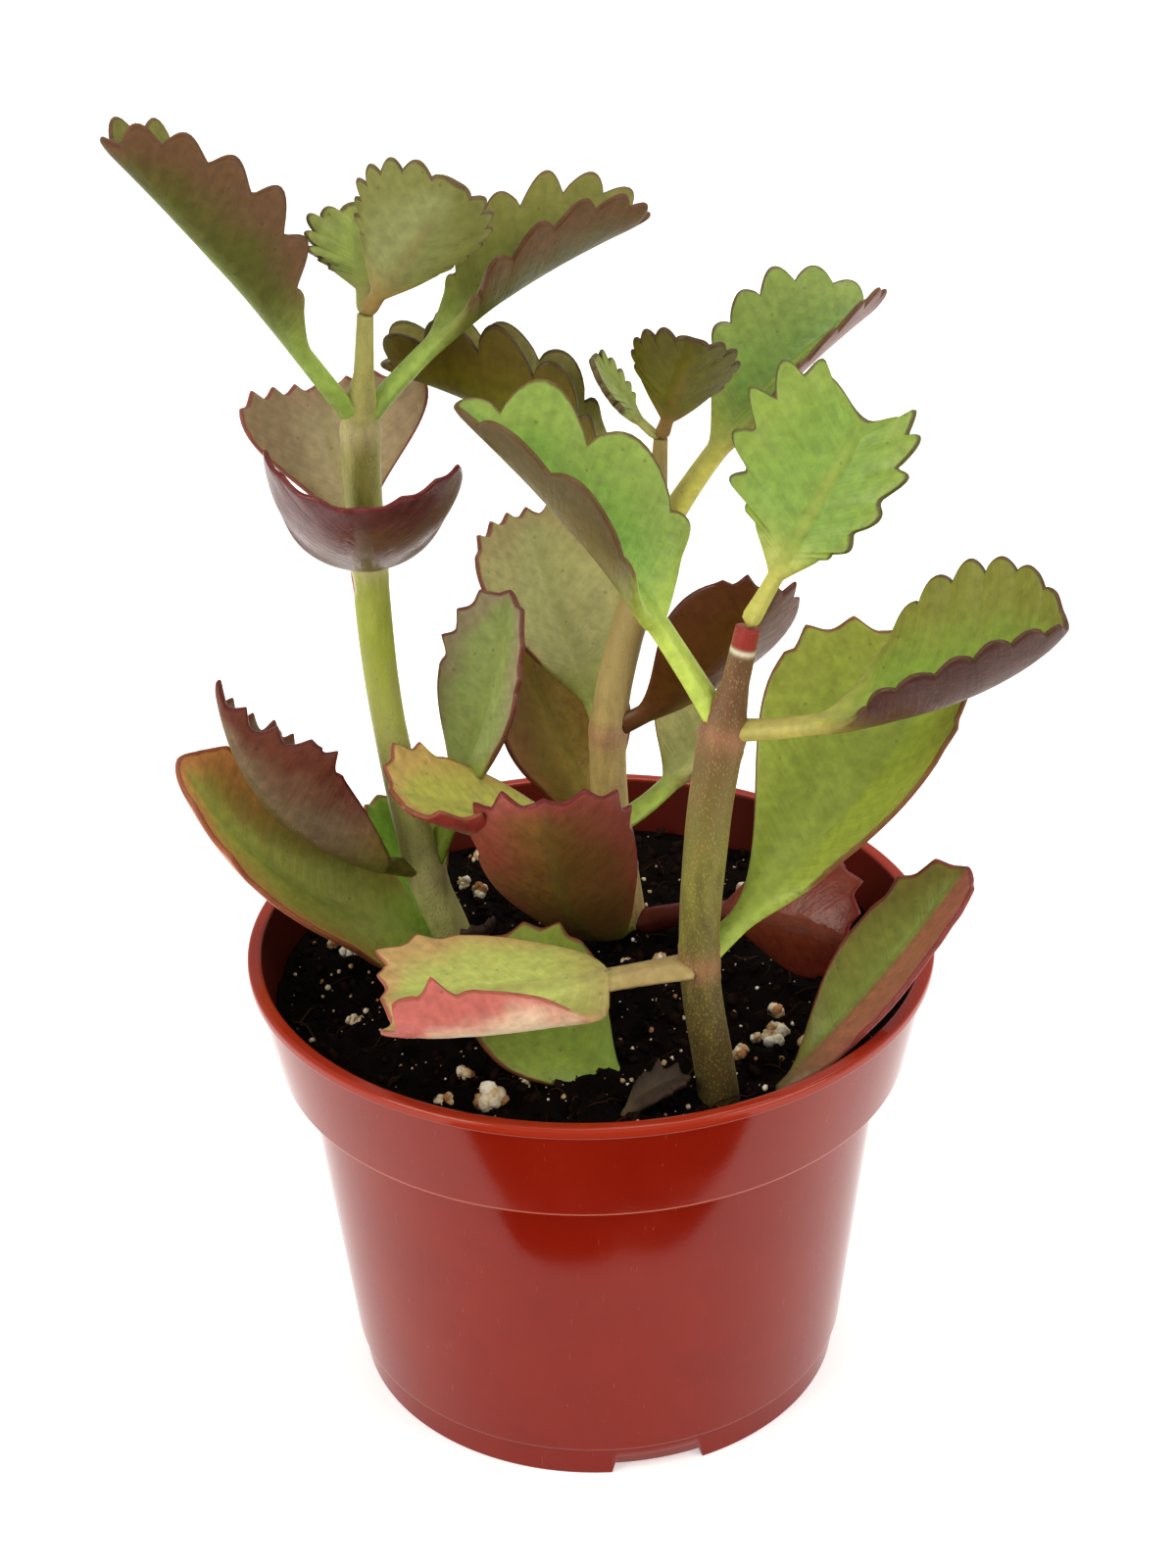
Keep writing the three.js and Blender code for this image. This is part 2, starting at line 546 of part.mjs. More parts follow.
// The shares of the way from tip to foot that the leaf is divided at, so that each lobe's notch and
// crest get a point.
function outlineShares(leaf, outline) {
  const lobedShare = leaf.lobed * (1 - leaf.petiole / outline.total);
  const bladeShare = 1 - leaf.petiole / outline.total;
  const inLobe = leaf.round ? [0, 0.22, 0.5, 0.78] : [0, 0.5];
  const shares = [0];
  for (let lobe = 0; lobe <= leaf.lobes; lobe++) {
    for (const phase of inLobe) {
      const way = Math.max(0, lobe + phase - 0.5) / leaf.lobes;
      if (way > 0 && way < 1) shares.push(way ** (1 / leaf.spread) * lobedShare);
    }
  }
  const plain = (from, to, steps) => {
    for (let i = 0; i < steps; i++) shares.push(from + ((to - from) * i) / steps);
  };
  plain(lobedShare, bladeShare, 4);
  plain(bladeShare, 1, 3);
  shares.push(1);
  return shares;
}

// A point of the leaf's skin. x runs along the midrib and y out from it, positive on the left. The
// half leaves the midrib at its fold angle and bends up by its curl. layer is 1 on top, -1 below.
function skinPoint(leaf, midrib, x, y, across, layer, grow) {
  const { curve, side, length } = midrib;
  const s = THREE.MathUtils.clamp(x, 0, length);
  const along = curve.getTangentAt(s / length);
  const point = curve.getPointAt(s / length).addScaledVector(along, x - s);
  const left = side.clone().addScaledVector(along, -along.dot(side)).normalize();
  const up = along.clone().cross(left);
  const roll = THREE.MathUtils.degToRad(leaf.roll + (leaf.turn * s) / length);
  const leftRolled = left.clone().multiplyScalar(Math.cos(roll)).addScaledVector(up, Math.sin(roll));
  const upRolled = up.clone().multiplyScalar(Math.cos(roll)).addScaledVector(left, -Math.sin(roll));
  const opening = smooth(0.4 * leaf.petiole, leaf.petiole + 0.35 * (length - leaf.petiole), s);
  const share = 0.25 + 0.75 * opening;
  const which = y >= 0 ? 0 : 1;
  const fold = THREE.MathUtils.degToRad(leaf.fold[which]) * share;
  const bend = (THREE.MathUtils.degToRad(leaf.curl[which]) * share) / leaf.half || 1e-5;
  const width = Math.abs(y);
  const angle = fold + bend * width;
  const out = (Math.sin(angle) - Math.sin(fold)) / bend;
  const rise = (Math.cos(fold) - Math.cos(angle)) / bend;
  const bladeX = leaf.petiole + 0.3 * (length - leaf.petiole);
  const slim = leaf.stalk / LEAF.stalk;
  const thick = read(
    [0, leaf.petiole, bladeX, length],
    [FOOT_THICK * slim, STALK_THICK * slim, BLADE_THICK, TIP_THICK],
    s,
  );
  const half = layer * ((EDGE_THICK + (thick - EDGE_THICK) * (1 - across * across)) / 2 + grow);
  const sign = Math.sign(y);
  point.addScaledVector(leftRolled, sign * out - sign * Math.sin(angle) * half);
  point.addScaledVector(upRolled, rise + (y === 0 ? 1 : Math.cos(angle)) * half);
  return point.toArray();
}

// A leaf is two skins, each two half blades that share the midrib, closed along the edge and at
// the foot. Both skins are split into triangles alike. grow makes it larger, as a cutter.
function leafSolid(leaf, seed, grow = 0) {
  const midrib = midribOf(leaf);
  const outline = smoothOutline(leaf, midrib.length);
  const shares = outlineShares(leaf, outline);
  const positions = [];
  const quad = (a, b, c, d, flipped) => {
    const order = flipped ? [c, b, a, d, c, a] : [a, b, c, a, c, d];
    for (const point of order) positions.push(...point);
  };
  for (const side of [1, -1]) {
    const grid = (layer) =>
      shares.map((share) => {
        const edge = outlinePoint(leaf, outline, midrib.length, share, side, seed);
        return Array.from({ length: leaf.columns + 1 }, (_, j) => {
          const across = j / leaf.columns;
          const x = THREE.MathUtils.lerp(edge.foot, edge.x, across);
          const y = side * across * (edge.y + (share > 0 ? grow : 0));
          return skinPoint(leaf, midrib, x, y, across, layer, grow);
        });
      });
    const top = grid(1);
    const under = grid(-1);
    const flipped = side < 0;
    const last = shares.length - 1;
    for (let k = 0; k < last; k++) {
      for (let j = 0; j < leaf.columns; j++) {
        quad(top[k + 1][j], top[k][j], top[k][j + 1], top[k + 1][j + 1], flipped);
        quad(under[k + 1][j], under[k][j], under[k][j + 1], under[k + 1][j + 1], !flipped);
      }
      const j = leaf.columns;
      quad(top[k + 1][j], top[k][j], under[k][j], under[k + 1][j], flipped);
    }
    for (let j = 0; j < leaf.columns; j++) {
      quad(top[last][j + 1], under[last][j + 1], under[last][j], top[last][j], flipped);
    }
  }
  const geometry = new THREE.BufferGeometry();
  geometry.setAttribute("position", new THREE.Float32BufferAttribute(positions, 3));
  return solidOf(geometry);
}

// Soil

function soilHeight(x, y) {
  const long = Math.sin(x * 0.11 + 1.3) * Math.cos(y * 0.13 - 0.4);
  const short = Math.sin(x * 0.31 + y * 0.23);
  return SOIL_SWELL * (0.6 * long + 0.4 * short);
}

function gritList() {
  const list = [...PLACED_GRIT];
  for (let i = 0; i < GRIT_COUNT; i++) {
    const angle = 2 * Math.PI * chance(i, GRIT_SEED);
    const radius = GRIT_FIELD_RADIUS * Math.sqrt(chance(i, GRIT_SEED + 1));
    const size = THREE.MathUtils.lerp(GRIT_SMALLEST, GRIT_LARGEST, chance(i, GRIT_SEED + 2) ** 2);
    list.push([radius * Math.cos(angle), radius * Math.sin(angle), size]);
  }
  return list;
}

// The soil fills the pot up to its level. Its top swells, and grains of grit stand out of it.
function soilSolid() {
  const bottom = FLOOR_TOP + CLEARANCE;
  const clear = 2 * CLEARANCE;
  const topRadius = COLLAR_FOOT_RADIUS - WALL - CLEARANCE;
  const rings = [
    levelRing(insideRadius(bottom) - clear, bottom, SOIL_SIDES),
    levelRing(insideRadius(LEDGE_TOP) - clear, LEDGE_TOP, SOIL_SIDES),
    levelRing(topRadius, LEDGE_TOP + clear, SOIL_SIDES),
  ];
  for (let i = SOIL_RINGS; i > 0; i--) {
    rings.push(levelRing((topRadius * i) / SOIL_RINGS, SOIL_Z, SOIL_SIDES, soilHeight));
  }
  let soil = loft(rings);
  for (const [x, y, size] of gritList()) {
    const grain = new THREE.IcosahedronGeometry(size, 0).rotateZ(x).rotateX(y).scale(1, 0.85, 0.8);
    soil = soil.add(solidOf(grain.translate(x, y, SOIL_Z + soilHeight(x, y) + 0.25 * size)));
  }
  return soil;
}

// Assembly

const object = new THREE.Group();
const plant = new THREE.Group();
const potted = new THREE.Group();
object.add(potted, plant);

const stemCutters = {};
for (const [name, stem] of Object.entries(STEMS)) {
  stemCutters[name] = stemSolid(stem, CLEARANCE);
  plant.add(meshOf(`stem_${name}`, stemSolid(stem), STEM_SKIN));
}

let soil = soilSolid();
for (const cutter of Object.values(stemCutters)) soil = soil.subtract(cutter);

LEAVES.forEach((row, index) => {
  const leaf = leafOf(row);
  let blade = leafSolid(leaf, index + 1).subtract(stemCutters[leaf.stem]);
  for (const name of leaf.clears) {
    const other = LEAVES.findIndex((candidate) => candidate.name === name);
    blade = blade.subtract(leafSolid(leafOf(LEAVES[other]), other + 1, CLEARANCE));
  }
  blade = largestBody(blade);
  if (blade.boundingBox().min[2] < SOIL_Z + GRIT_LARGEST) {
    soil = soil.subtract(leafSolid(leaf, index + 1, CLEARANCE));
  }
  plant.add(meshOf(leaf.name, blade, leaf.age === "dry" ? DRY_LEAF_SKIN : LEAF_SKIN));
});

potted.add(meshOf("pot", potSolid(), POT_PLASTIC));
potted.add(meshOf("soil", largestBody(soil), SOIL_MIX));

export default object;
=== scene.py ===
"""A potted kalanchoe with three leafy stems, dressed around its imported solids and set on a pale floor.

Sizes are in millimetres up to the point where a mesh is made. +Z is up, the front is -Y, and the
origin is the centre of the pot's foot.
"""

import bmesh
import bpy
import numpy as np
from mathutils import Matrix, Vector


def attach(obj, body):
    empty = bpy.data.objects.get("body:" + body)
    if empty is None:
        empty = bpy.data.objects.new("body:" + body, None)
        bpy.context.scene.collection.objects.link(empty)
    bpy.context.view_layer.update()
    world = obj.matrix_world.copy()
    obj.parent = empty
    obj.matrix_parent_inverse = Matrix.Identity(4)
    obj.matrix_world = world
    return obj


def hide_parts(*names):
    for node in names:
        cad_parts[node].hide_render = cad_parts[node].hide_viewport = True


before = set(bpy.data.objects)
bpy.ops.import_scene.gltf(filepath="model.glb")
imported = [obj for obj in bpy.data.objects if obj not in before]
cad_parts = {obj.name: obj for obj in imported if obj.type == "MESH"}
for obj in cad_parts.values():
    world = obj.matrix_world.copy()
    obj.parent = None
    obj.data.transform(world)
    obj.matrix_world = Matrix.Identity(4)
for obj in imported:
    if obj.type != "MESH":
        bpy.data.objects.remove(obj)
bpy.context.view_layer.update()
MM = 0.001

# The pot, as in the part's source.
RIM_RADIUS = 54
POT_HEIGHT = 76
LIP_WIDTH = 2.2
LIP_HEIGHT = 1.8
LIP_OVERHANG = 0.8
COLLAR_FOOT_RADIUS = 50
COLLAR_FOOT_Z = 58
COLLAR_BEAD = 0.6
WALL_TOP_RADIUS = 46.4
WALL_FOOT_RADIUS = 40.5
FOOT_HEIGHT = 5.2
FOOT_INSET = 0.8
FOOT_TAPER = 0.3
WALL = 1.2
FLOOR_UNDER = 2.3
FLOOR_TOP = 3.5
LEDGE_TOP = COLLAR_FOOT_Z + COLLAR_BEAD + WALL
NOTCHES = 3
NOTCH_CENTRE_DEG = -77
NOTCH_SPAN_DEG = 21
NOTCH_HEIGHT = 2.1
DRAIN_HOLES = 6
DRAIN_RADIUS = 4.5
DRAIN_RING_RADIUS = 27
POT_SEGMENTS = 480

# The soil's level and swell, the waves that its clods are made of, and the grid of its top.
SOIL_Z = 67
SOIL_SWELL = 0.7
CLOD_WAVES = 48
CLOD_SEED = 3
SOIL_RINGS = 110
SOIL_SEGMENTS = 300

# What lies on the soil: larger grains of perlite as x, y and radius, then how many more grains are
# placed by chance and how far out, and how many specks of perlite, crumbs and fibres there are.
PLACED_GRIT = [
    (-15.6, -33.4, 3.0),
    (-22.1, -33.1, 1.9),
    (-19.4, -26.7, 1.7),
    (27.9, -17.8, 2.7),
    (28.3, -10.9, 1.8),
    (22.3, -23.0, 1.8),
    (-18.7, 40.6, 1.9),
    (-18.4, 27.3, 1.9),
    (-21.0, 30.5, 1.5),
    (-39.4, 9.4, 1.9),
    (-42.0, 12.5, 1.4),
    (40.5, 27.0, 1.6),
]
SEEDED_GRIT = 20
GRIT_SEED = 7
GRIT_SMALLEST = 1.1
GRIT_FIELD_RADIUS = 44
BITS_PER_GRAIN = 16
SPECKS = 600
CRUMBS = 3200
FIBRES = 110
FIBRE_STEPS = 7

# The seeds of the draws on the soil: for sizes, then for the places and the shapes of each kind.
SIZE_SEED = 11
CRUMB_SEEDS = (5, 6)
SPECK_SEEDS = (8, 9)
GRAIN_SEEDS = (12, 13)
FIBRE_SEEDS = (22, 21)

# Each stem's centreline from inside the soil to its tip, with the radius at each point, and the
# points that leaves grow from. scar is the middle of a healed scar, and a cut stem has lost its tip.
STEMS = {
    "left": {
        "points": [
            (-20.5, 15, 46, 2.9),
            (-22.3, 14, 66, 3.2),
            (-26.3, 13, 80.5, 3.1),
            (-30.9, 13, 107, 2.6),
            (-32.4, 12, 135.5, 2.8),
            (-32.4, 11, 157, 2.9),
            (-31.4, 10.5, 166, 1.5),
            (-30.6, 10, 175, 1.2),
        ],
        "nodes": {"base": 1, "low": 2, "middle": 4, "top": 5, "bud": 7},
        "scar": (-35.0, 11.2, 132.5),
    },
    "middle": {
        "points": [
            (6.8, 19, 46, 2.9),
            (6.2, 18, 66, 3.0),
            (4.6, 17, 80.8, 3.0),
            (3.9, 16.2, 86, 3.0),
            (3.4, 15, 104, 2.9),
            (6.4, 15, 120.2, 2.7),
            (11.1, 17, 134, 2.6),
            (11.8, 17.4, 144.5, 1.4),
            (12.2, 17.4, 152, 1.1),
        ],
        "nodes": {"base": 1, "foot": 2, "low": 3, "middle": 4, "top": 6, "bud": 8},
    },
    "right": {
        "points": [
            (19.6, -33.5, 46, 2.9),
            (18.6, -33, 66, 3.1),
            (15.8, -32, 90, 2.9),
            (16.9, -31, 111, 3.2),
            (19.1, -30, 126.3, 3.3),
            (21.0, -29.4, 134, 1.95),
            (22.7, -29, 142, 1.75),
        ],
        "nodes": {"base": 1, "low": 2, "top": 4, "bud": 6},
        "cut": True,
    },
}

# A healed scar's half sizes, the rings of points in each span of a stem, and the points in a ring.
SCAR_SIZE = (1.0, 1.0, 2.6)
STEM_RINGS = 26
STEM_SEGMENTS = 40

# A stem swells at a node, and a thin ring stands on either side of it. A cut tip has a red end and
# a papery ring below it.
NODE_SWELL = 0.25
NODE_SPREAD = 2.0
RING_SWELL = 0.12
RING_AWAY = 2.6
RING_SPREAD = 0.5
CUT_RED = 2.6
CUT_RING_AWAY = 3.3
CUT_RING_SPREAD = 0.45

# Each stem's bark: its colour low down, in the middle, at the top and round its joints.
BARK = {
    # The left stem's low colour is made lighter as painted light, to offset the shade that falls on it
    # near the soil.
    "left": ("#D0CE86", "#98A03C", "#A09A58", "#BCB082"),
    "middle": ("#BCA46E", "#B8A26A", "#8C7A44", "#B88C6E"),
    "right": ("#5A4A24", "#76702E", "#704E30", "#94684A"),
}

# What a leaf has unless its row says otherwise, as in the part's source. tip is where it ends. lift
# arches the midrib up, and knee is how far along the bend comes. petiole is the stalk's length and
# stalk its half width. half is the blade's half width, and sides scale the left and right halves,
# seen from the stem. fold raises each half off the midrib and curl rolls its edge up, in degrees.
# roll turns the blade about the midrib, and turn adds to that by the tip. dent pulls the tip's
# middle in, and bare is the share of the lobed edge that stays plain at the tip.
LEAF = {
    "lift": 0, "knee": 0.5, "petiole": 10, "stalk": 1.9, "half": 14, "sides": (1, 1),
    "fold": (30, 30), "curl": (0, 0), "roll": 0, "turn": 0, "dent": 0, "bare": 0,
}

# The ages of leaf. widest is where along the blade it is widest, blunt rounds its tip and cuneate
# narrows its foot. lobed is the share of its edge with lobes, lobes how many a half has, and depth
# how deep they are. crisp is the power that narrows each of them, and round tells round lobes from
# pointed teeth. spread below 1 makes them wider towards the foot, above 1 towards the tip.
AGES = {
    "crown": {"widest": 0.55, "blunt": 2.5, "cuneate": 1.35, "lobed": 0.8, "lobes": 5,
              "depth": 4, "crisp": 0.75, "spread": 0.85, "round": True},
    "grown": {"widest": 0.6, "blunt": 2.4, "cuneate": 1.25, "lobed": 0.5, "lobes": 4,
              "depth": 1.6, "crisp": 1.2, "spread": 1, "round": False},
    "basal": {"widest": 0.58, "blunt": 2.3, "cuneate": 1.2, "lobed": 0.42, "lobes": 3,
              "depth": 1.2, "crisp": 1.2, "spread": 1, "round": False},
    "bud": {"widest": 0.6, "blunt": 3, "cuneate": 1.2, "lobed": 0.8, "lobes": 6,
            "depth": 1.6, "crisp": 0.75, "spread": 1.4, "round": True},
    "dry": {"widest": 0.5, "blunt": 2.0, "cuneate": 1.0, "lobed": 0.6, "lobes": 3,
            "depth": 1.0, "crisp": 1.2, "spread": 1, "round": False},
}

# How leaf thickness runs: stalk's foot, stalk, blade at its midrib, tip, and the edge all round.
# A slimmer stalk is thinner in the same measure, and the stalk widens by a share at its foot.
FOOT_THICK = 3.0
STALK_THICK = 2.8
BLADE_THICK = 2.0
TIP_THICK = 1.4
EDGE_THICK = 0.8
FOOT_FLARE = 0.35

# How a lobe leans to the tip and stands out from the plain outline, and how its rib slants back.
LOBE_LEAN = 0.55
LOBE_CUT = 0.35
RIB_SLANT = 0.42

# The relief of a blade: how far in from the margin it rounds off and out from the stem it begins,
# its undulation, the rise of its lobes, the groove above the midrib and the keel beneath, and the
# width of the crease between its halves as a share of a half's width.
MARGIN_ROUND = 0.5
FOOT_ROUND = 2
UNDULATION = 0.5
LOBE_RISE = 0.45
GROOVE = 0.15
KEEL = 0.3
CREASE = 0.1

# The grid of a leaf: points of its midrib and of its plain outline's end, foot and stalk, points
# for each lobe, on the plain margin and along the stalk, and where the columns of a half lie on the
# way from the midrib out to the margin.
MIDRIB_POINTS = 200
OUTLINE_POINTS = (120, 120, 40)
LOBE_POINTS = 12
PLAIN_POINTS = 24
STALK_POINTS = 10
COLUMNS = np.array([0, 4, 9, 16, 26, 38, 50, 62, 74, 84, 92, 96.5, 99, 100]) / 100

# The leaves, each with what differs from the forms above. A leaf grows from a node of the stem that
# its name begins with, or from a base of its own.
LEAVES = [
    dict(name="left_crown_west", node="top", age="crown", tip=(-64, -4, 204), lift=1, petiole=15,
         half=11.2, widest=0.5, blunt=2.2, lobed=0.86, lobes=6, depth=3.4, crisp=1.3, fold=(60, 55),
         curl=(10, 10), roll=10, skin="crown"),
    dict(name="left_crown_east", node="top", age="crown", tip=(10, 28, 182), lift=4, knee=0.4,
         petiole=16, half=11.5, lobed=0.84, lobes=6, depth=3.2, crisp=1.1, fold=(45, 55),
         curl=(5, 5), roll=5, skin="crown"),
    dict(name="left_bud_front", node="bud", age="bud", tip=(-16.3, 2, 196), petiole=4, stalk=1.2,
         half=10.2, sides=(0.9, 1.08), widest=0.66, blunt=1.75, lobed=0.74, lobes=7, depth=1.5,
         crisp=0.9, fold=(20, 12), curl=(8, 8), roll=-62, skin="bud"),
    dict(name="left_bud_back", node="bud", age="bud", tip=(-31.5, 18, 188.6), lift=-1, petiole=4,
         stalk=1.1, half=7.6, fold=(15, 15), curl=(10, 10), skin="bud_back"),
    dict(name="left_mid_front", node="middle", age="grown", tip=(-31, -13, 154), lift=-3, petiole=4,
         half=19, sides=(0.97, 1.08), widest=0.7, blunt=3, cuneate=0.9, depth=0.5, fold=(6, 6),
         curl=(60, 70), skin="maroon"),
    dict(name="left_mid_back", node="middle", age="grown", tip=(-40, 29, 157.3), lift=-2, petiole=5,
         half=16.5, widest=0.85, blunt=3.4, cuneate=1.7, lobed=0.4, fold=(18, 18), curl=(15, 15),
         skin="mauve"),
    dict(name="left_low_west", node="low", age="grown", tip=(-56, -2, 122), lift=-9, petiole=9,
         half=12.5, widest=0.6, blunt=0.9, cuneate=0.35, lobed=0.6, lobes=5, depth=1.8,
         fold=(78, 50), curl=(5, 5), skin="plum"),
    dict(name="left_low_east", node="low", age="grown", tip=(-11, 18.5, 126.6), lift=-2, petiole=14,
         half=9.2, widest=0.58, fold=(15, 25), curl=(10, 10), roll=30, skin="sage"),
    dict(name="left_base_west", node="base", age="basal", tip=(-63, 2, 107), lift=-7, petiole=3,
         half=14, widest=0.45, cuneate=0.8, fold=(20, 20), curl=(35, 35), roll=-35, skin="moss"),
    dict(name="left_base_back", node="base", age="basal", tip=(-35, 30, 85), lift=-3, petiole=6,
         half=9, fold=(25, 25), curl=(20, 20), skin="apple"),
    dict(name="left_base_east", node="base", age="basal", tip=(-17, 4, 75), lift=-2, petiole=4,
         half=4, lobes=3, depth=0.5, fold=(25, 25), skin="withered"),
    dict(name="middle_base_front", node="base", age="grown", tip=(-6.5, -14, 106.7), lift=-8,
         petiole=5, half=14, widest=0.68, blunt=3, lobed=0.42, depth=2, fold=(15, 15),
         curl=(30, 30), roll=22, skin="wine"),
    dict(name="middle_foot_back", node="foot", age="grown", tip=(-11, 34, 111), lift=-2, petiole=5,
         half=14, widest=0.55, fold=(15, 15), curl=(15, 15), skin="bronze"),
    dict(name="middle_low_west", node="low", age="grown", tip=(-30, -2, 103), lift=-2, petiole=7,
         half=14, sides=(1, 0.8), widest=0.7, blunt=3.4, cuneate=0.9, fold=(-20, 22), curl=(75, 20),
         roll=-5, skin="lime"),
    dict(name="middle_low_east", node="low", age="grown", tip=(23, 28, 102), lift=-3, petiole=12,
         half=10, fold=(25, 25), curl=(10, 10), skin="fresh"),
    dict(name="middle_mid_west", node="middle", age="grown", tip=(-9, 37, 132.3), lift=-2,
         petiole=6, half=15, widest=0.66, lobed=0.35, fold=(15, 15), curl=(15, 15), skin="tan"),
    dict(name="middle_mid_east", node="middle", age="grown", tip=(29, 8, 131), lift=-3, petiole=7,
         half=11, lobed=0.22, lobes=2, fold=(20, 15), curl=(10, 10), roll=-55, skin="umber"),
    dict(name="middle_crown_east", node="top", age="crown", tip=(47, 42, 163.5), lift=4, knee=0.4,
         petiole=18, half=12, sides=(1.15, 1), widest=0.52, lobes=6, depth=2.2, crisp=1,
         fold=(45, 32), curl=(5, 5), roll=10, turn=-25, skin="crown_green"),
    dict(name="middle_crown_west", node="top", age="crown", tip=(-29, 23.5, 161.2), lift=5.5,
         knee=0.36, petiole=9, half=11, lobed=0.78, fold=(75, 60), curl=(5, 5), skin="olive"),
    dict(name="middle_bud_front", node="bud", age="bud", tip=(16.8, 9, 170), petiole=4, stalk=1.1,
         half=8.6, sides=(0.95, 0.95), widest=0.64, blunt=1.75, lobed=0.74, depth=1.4,
         fold=(30, 10), curl=(5, 5), roll=-40, skin="bud_dark"),
    dict(name="middle_bud_back", node="bud", age="bud", tip=(2.4, 22, 163.2), lift=-1, petiole=4,
         stalk=1, half=6.5, sides=(1, 0.45), fold=(20, 10), curl=(10, 10), skin="bud_back"),
    dict(name="middle_base_east", node="base", age="basal", tip=(39.5, -8, 78), lift=4, knee=0.6,
         petiole=22, half=12, sides=(0.85, 1), fold=(15, 15), curl=(15, 15), roll=-105,
         skin="blood"),
    dict(name="right_low_west", node="low", age="grown", tip=(-30, -37.5, 88.5), lift=-1,
         petiole=14, half=15, sides=(1.5, 1.05), widest=0.72, blunt=5, cuneate=0.45, fold=(-35, -5),
         curl=(95, 10), skin="coral"),
    dict(name="right_low_east", node="low", age="grown", tip=(53, -15, 130), lift=-3, petiole=8,
         half=18, sides=(1.15, 0.8), widest=0.7, cuneate=1.6, lobed=0.4, fold=(8, 50),
         curl=(10, 10), roll=35, skin="green"),
    dict(name="right_top_west", node="top", age="crown", tip=(-16.5, -14, 168.5), lift=3, knee=0.45,
         petiole=18, half=11.4, sides=(1, 1.15), widest=0.32, blunt=1.8, cuneate=0.9, lobed=0.85,
         lobes=3, depth=4.2, crisp=0.9, fold=(60, 35), curl=(5, 5), roll=-10, skin="crown_pale"),
    dict(name="right_top_east", node="top", age="crown", tip=(64.5, -46, 149), lift=-5, knee=0.65,
         petiole=14, half=15.5, sides=(1.12, 0.75), widest=0.5, blunt=3, lobed=0.82, lobes=7,
         depth=1.7, crisp=0.8, bare=0.12, fold=(22, 48), curl=(8, 25), roll=6, turn=12,
         skin="crown_broad"),
    dict(name="right_bud_leaf", node="bud", age="crown", tip=(41, -20, 172), petiole=8, stalk=1.4,
         half=13.5, sides=(1.02, 0.68), widest=0.56, blunt=4, cuneate=1.15, lobed=0.86, lobes=7,
         depth=3.2, crisp=1.5, dent=3.5, bare=0.25, round=True, fold=(5, 20), curl=(5, 5), roll=38,
         skin="young"),
    dict(name="right_soil_east", node="base", age="basal", base=(22.5, -34, 62), tip=(57, -18, 96),
         lift=-2, petiole=10, half=12, sides=(0.75, 1), fold=(50, 25), curl=(10, 10), skin="rose"),
    dict(name="right_soil_west", node="base", age="basal", base=(7.3, -27.5, 63),
         tip=(-15, -18, 86), lift=-3, petiole=5, half=12, fold=(5, 5), curl=(15, 15), roll=-30,
         skin="basal"),
    dict(name="dry_leaf", node="base", age="dry", base=(4, -37, 66.2), tip=(14, -35, 71.5), lift=1,
         petiole=1.5, stalk=1, half=3.2, fold=(35, 20), skin="withered"),
]

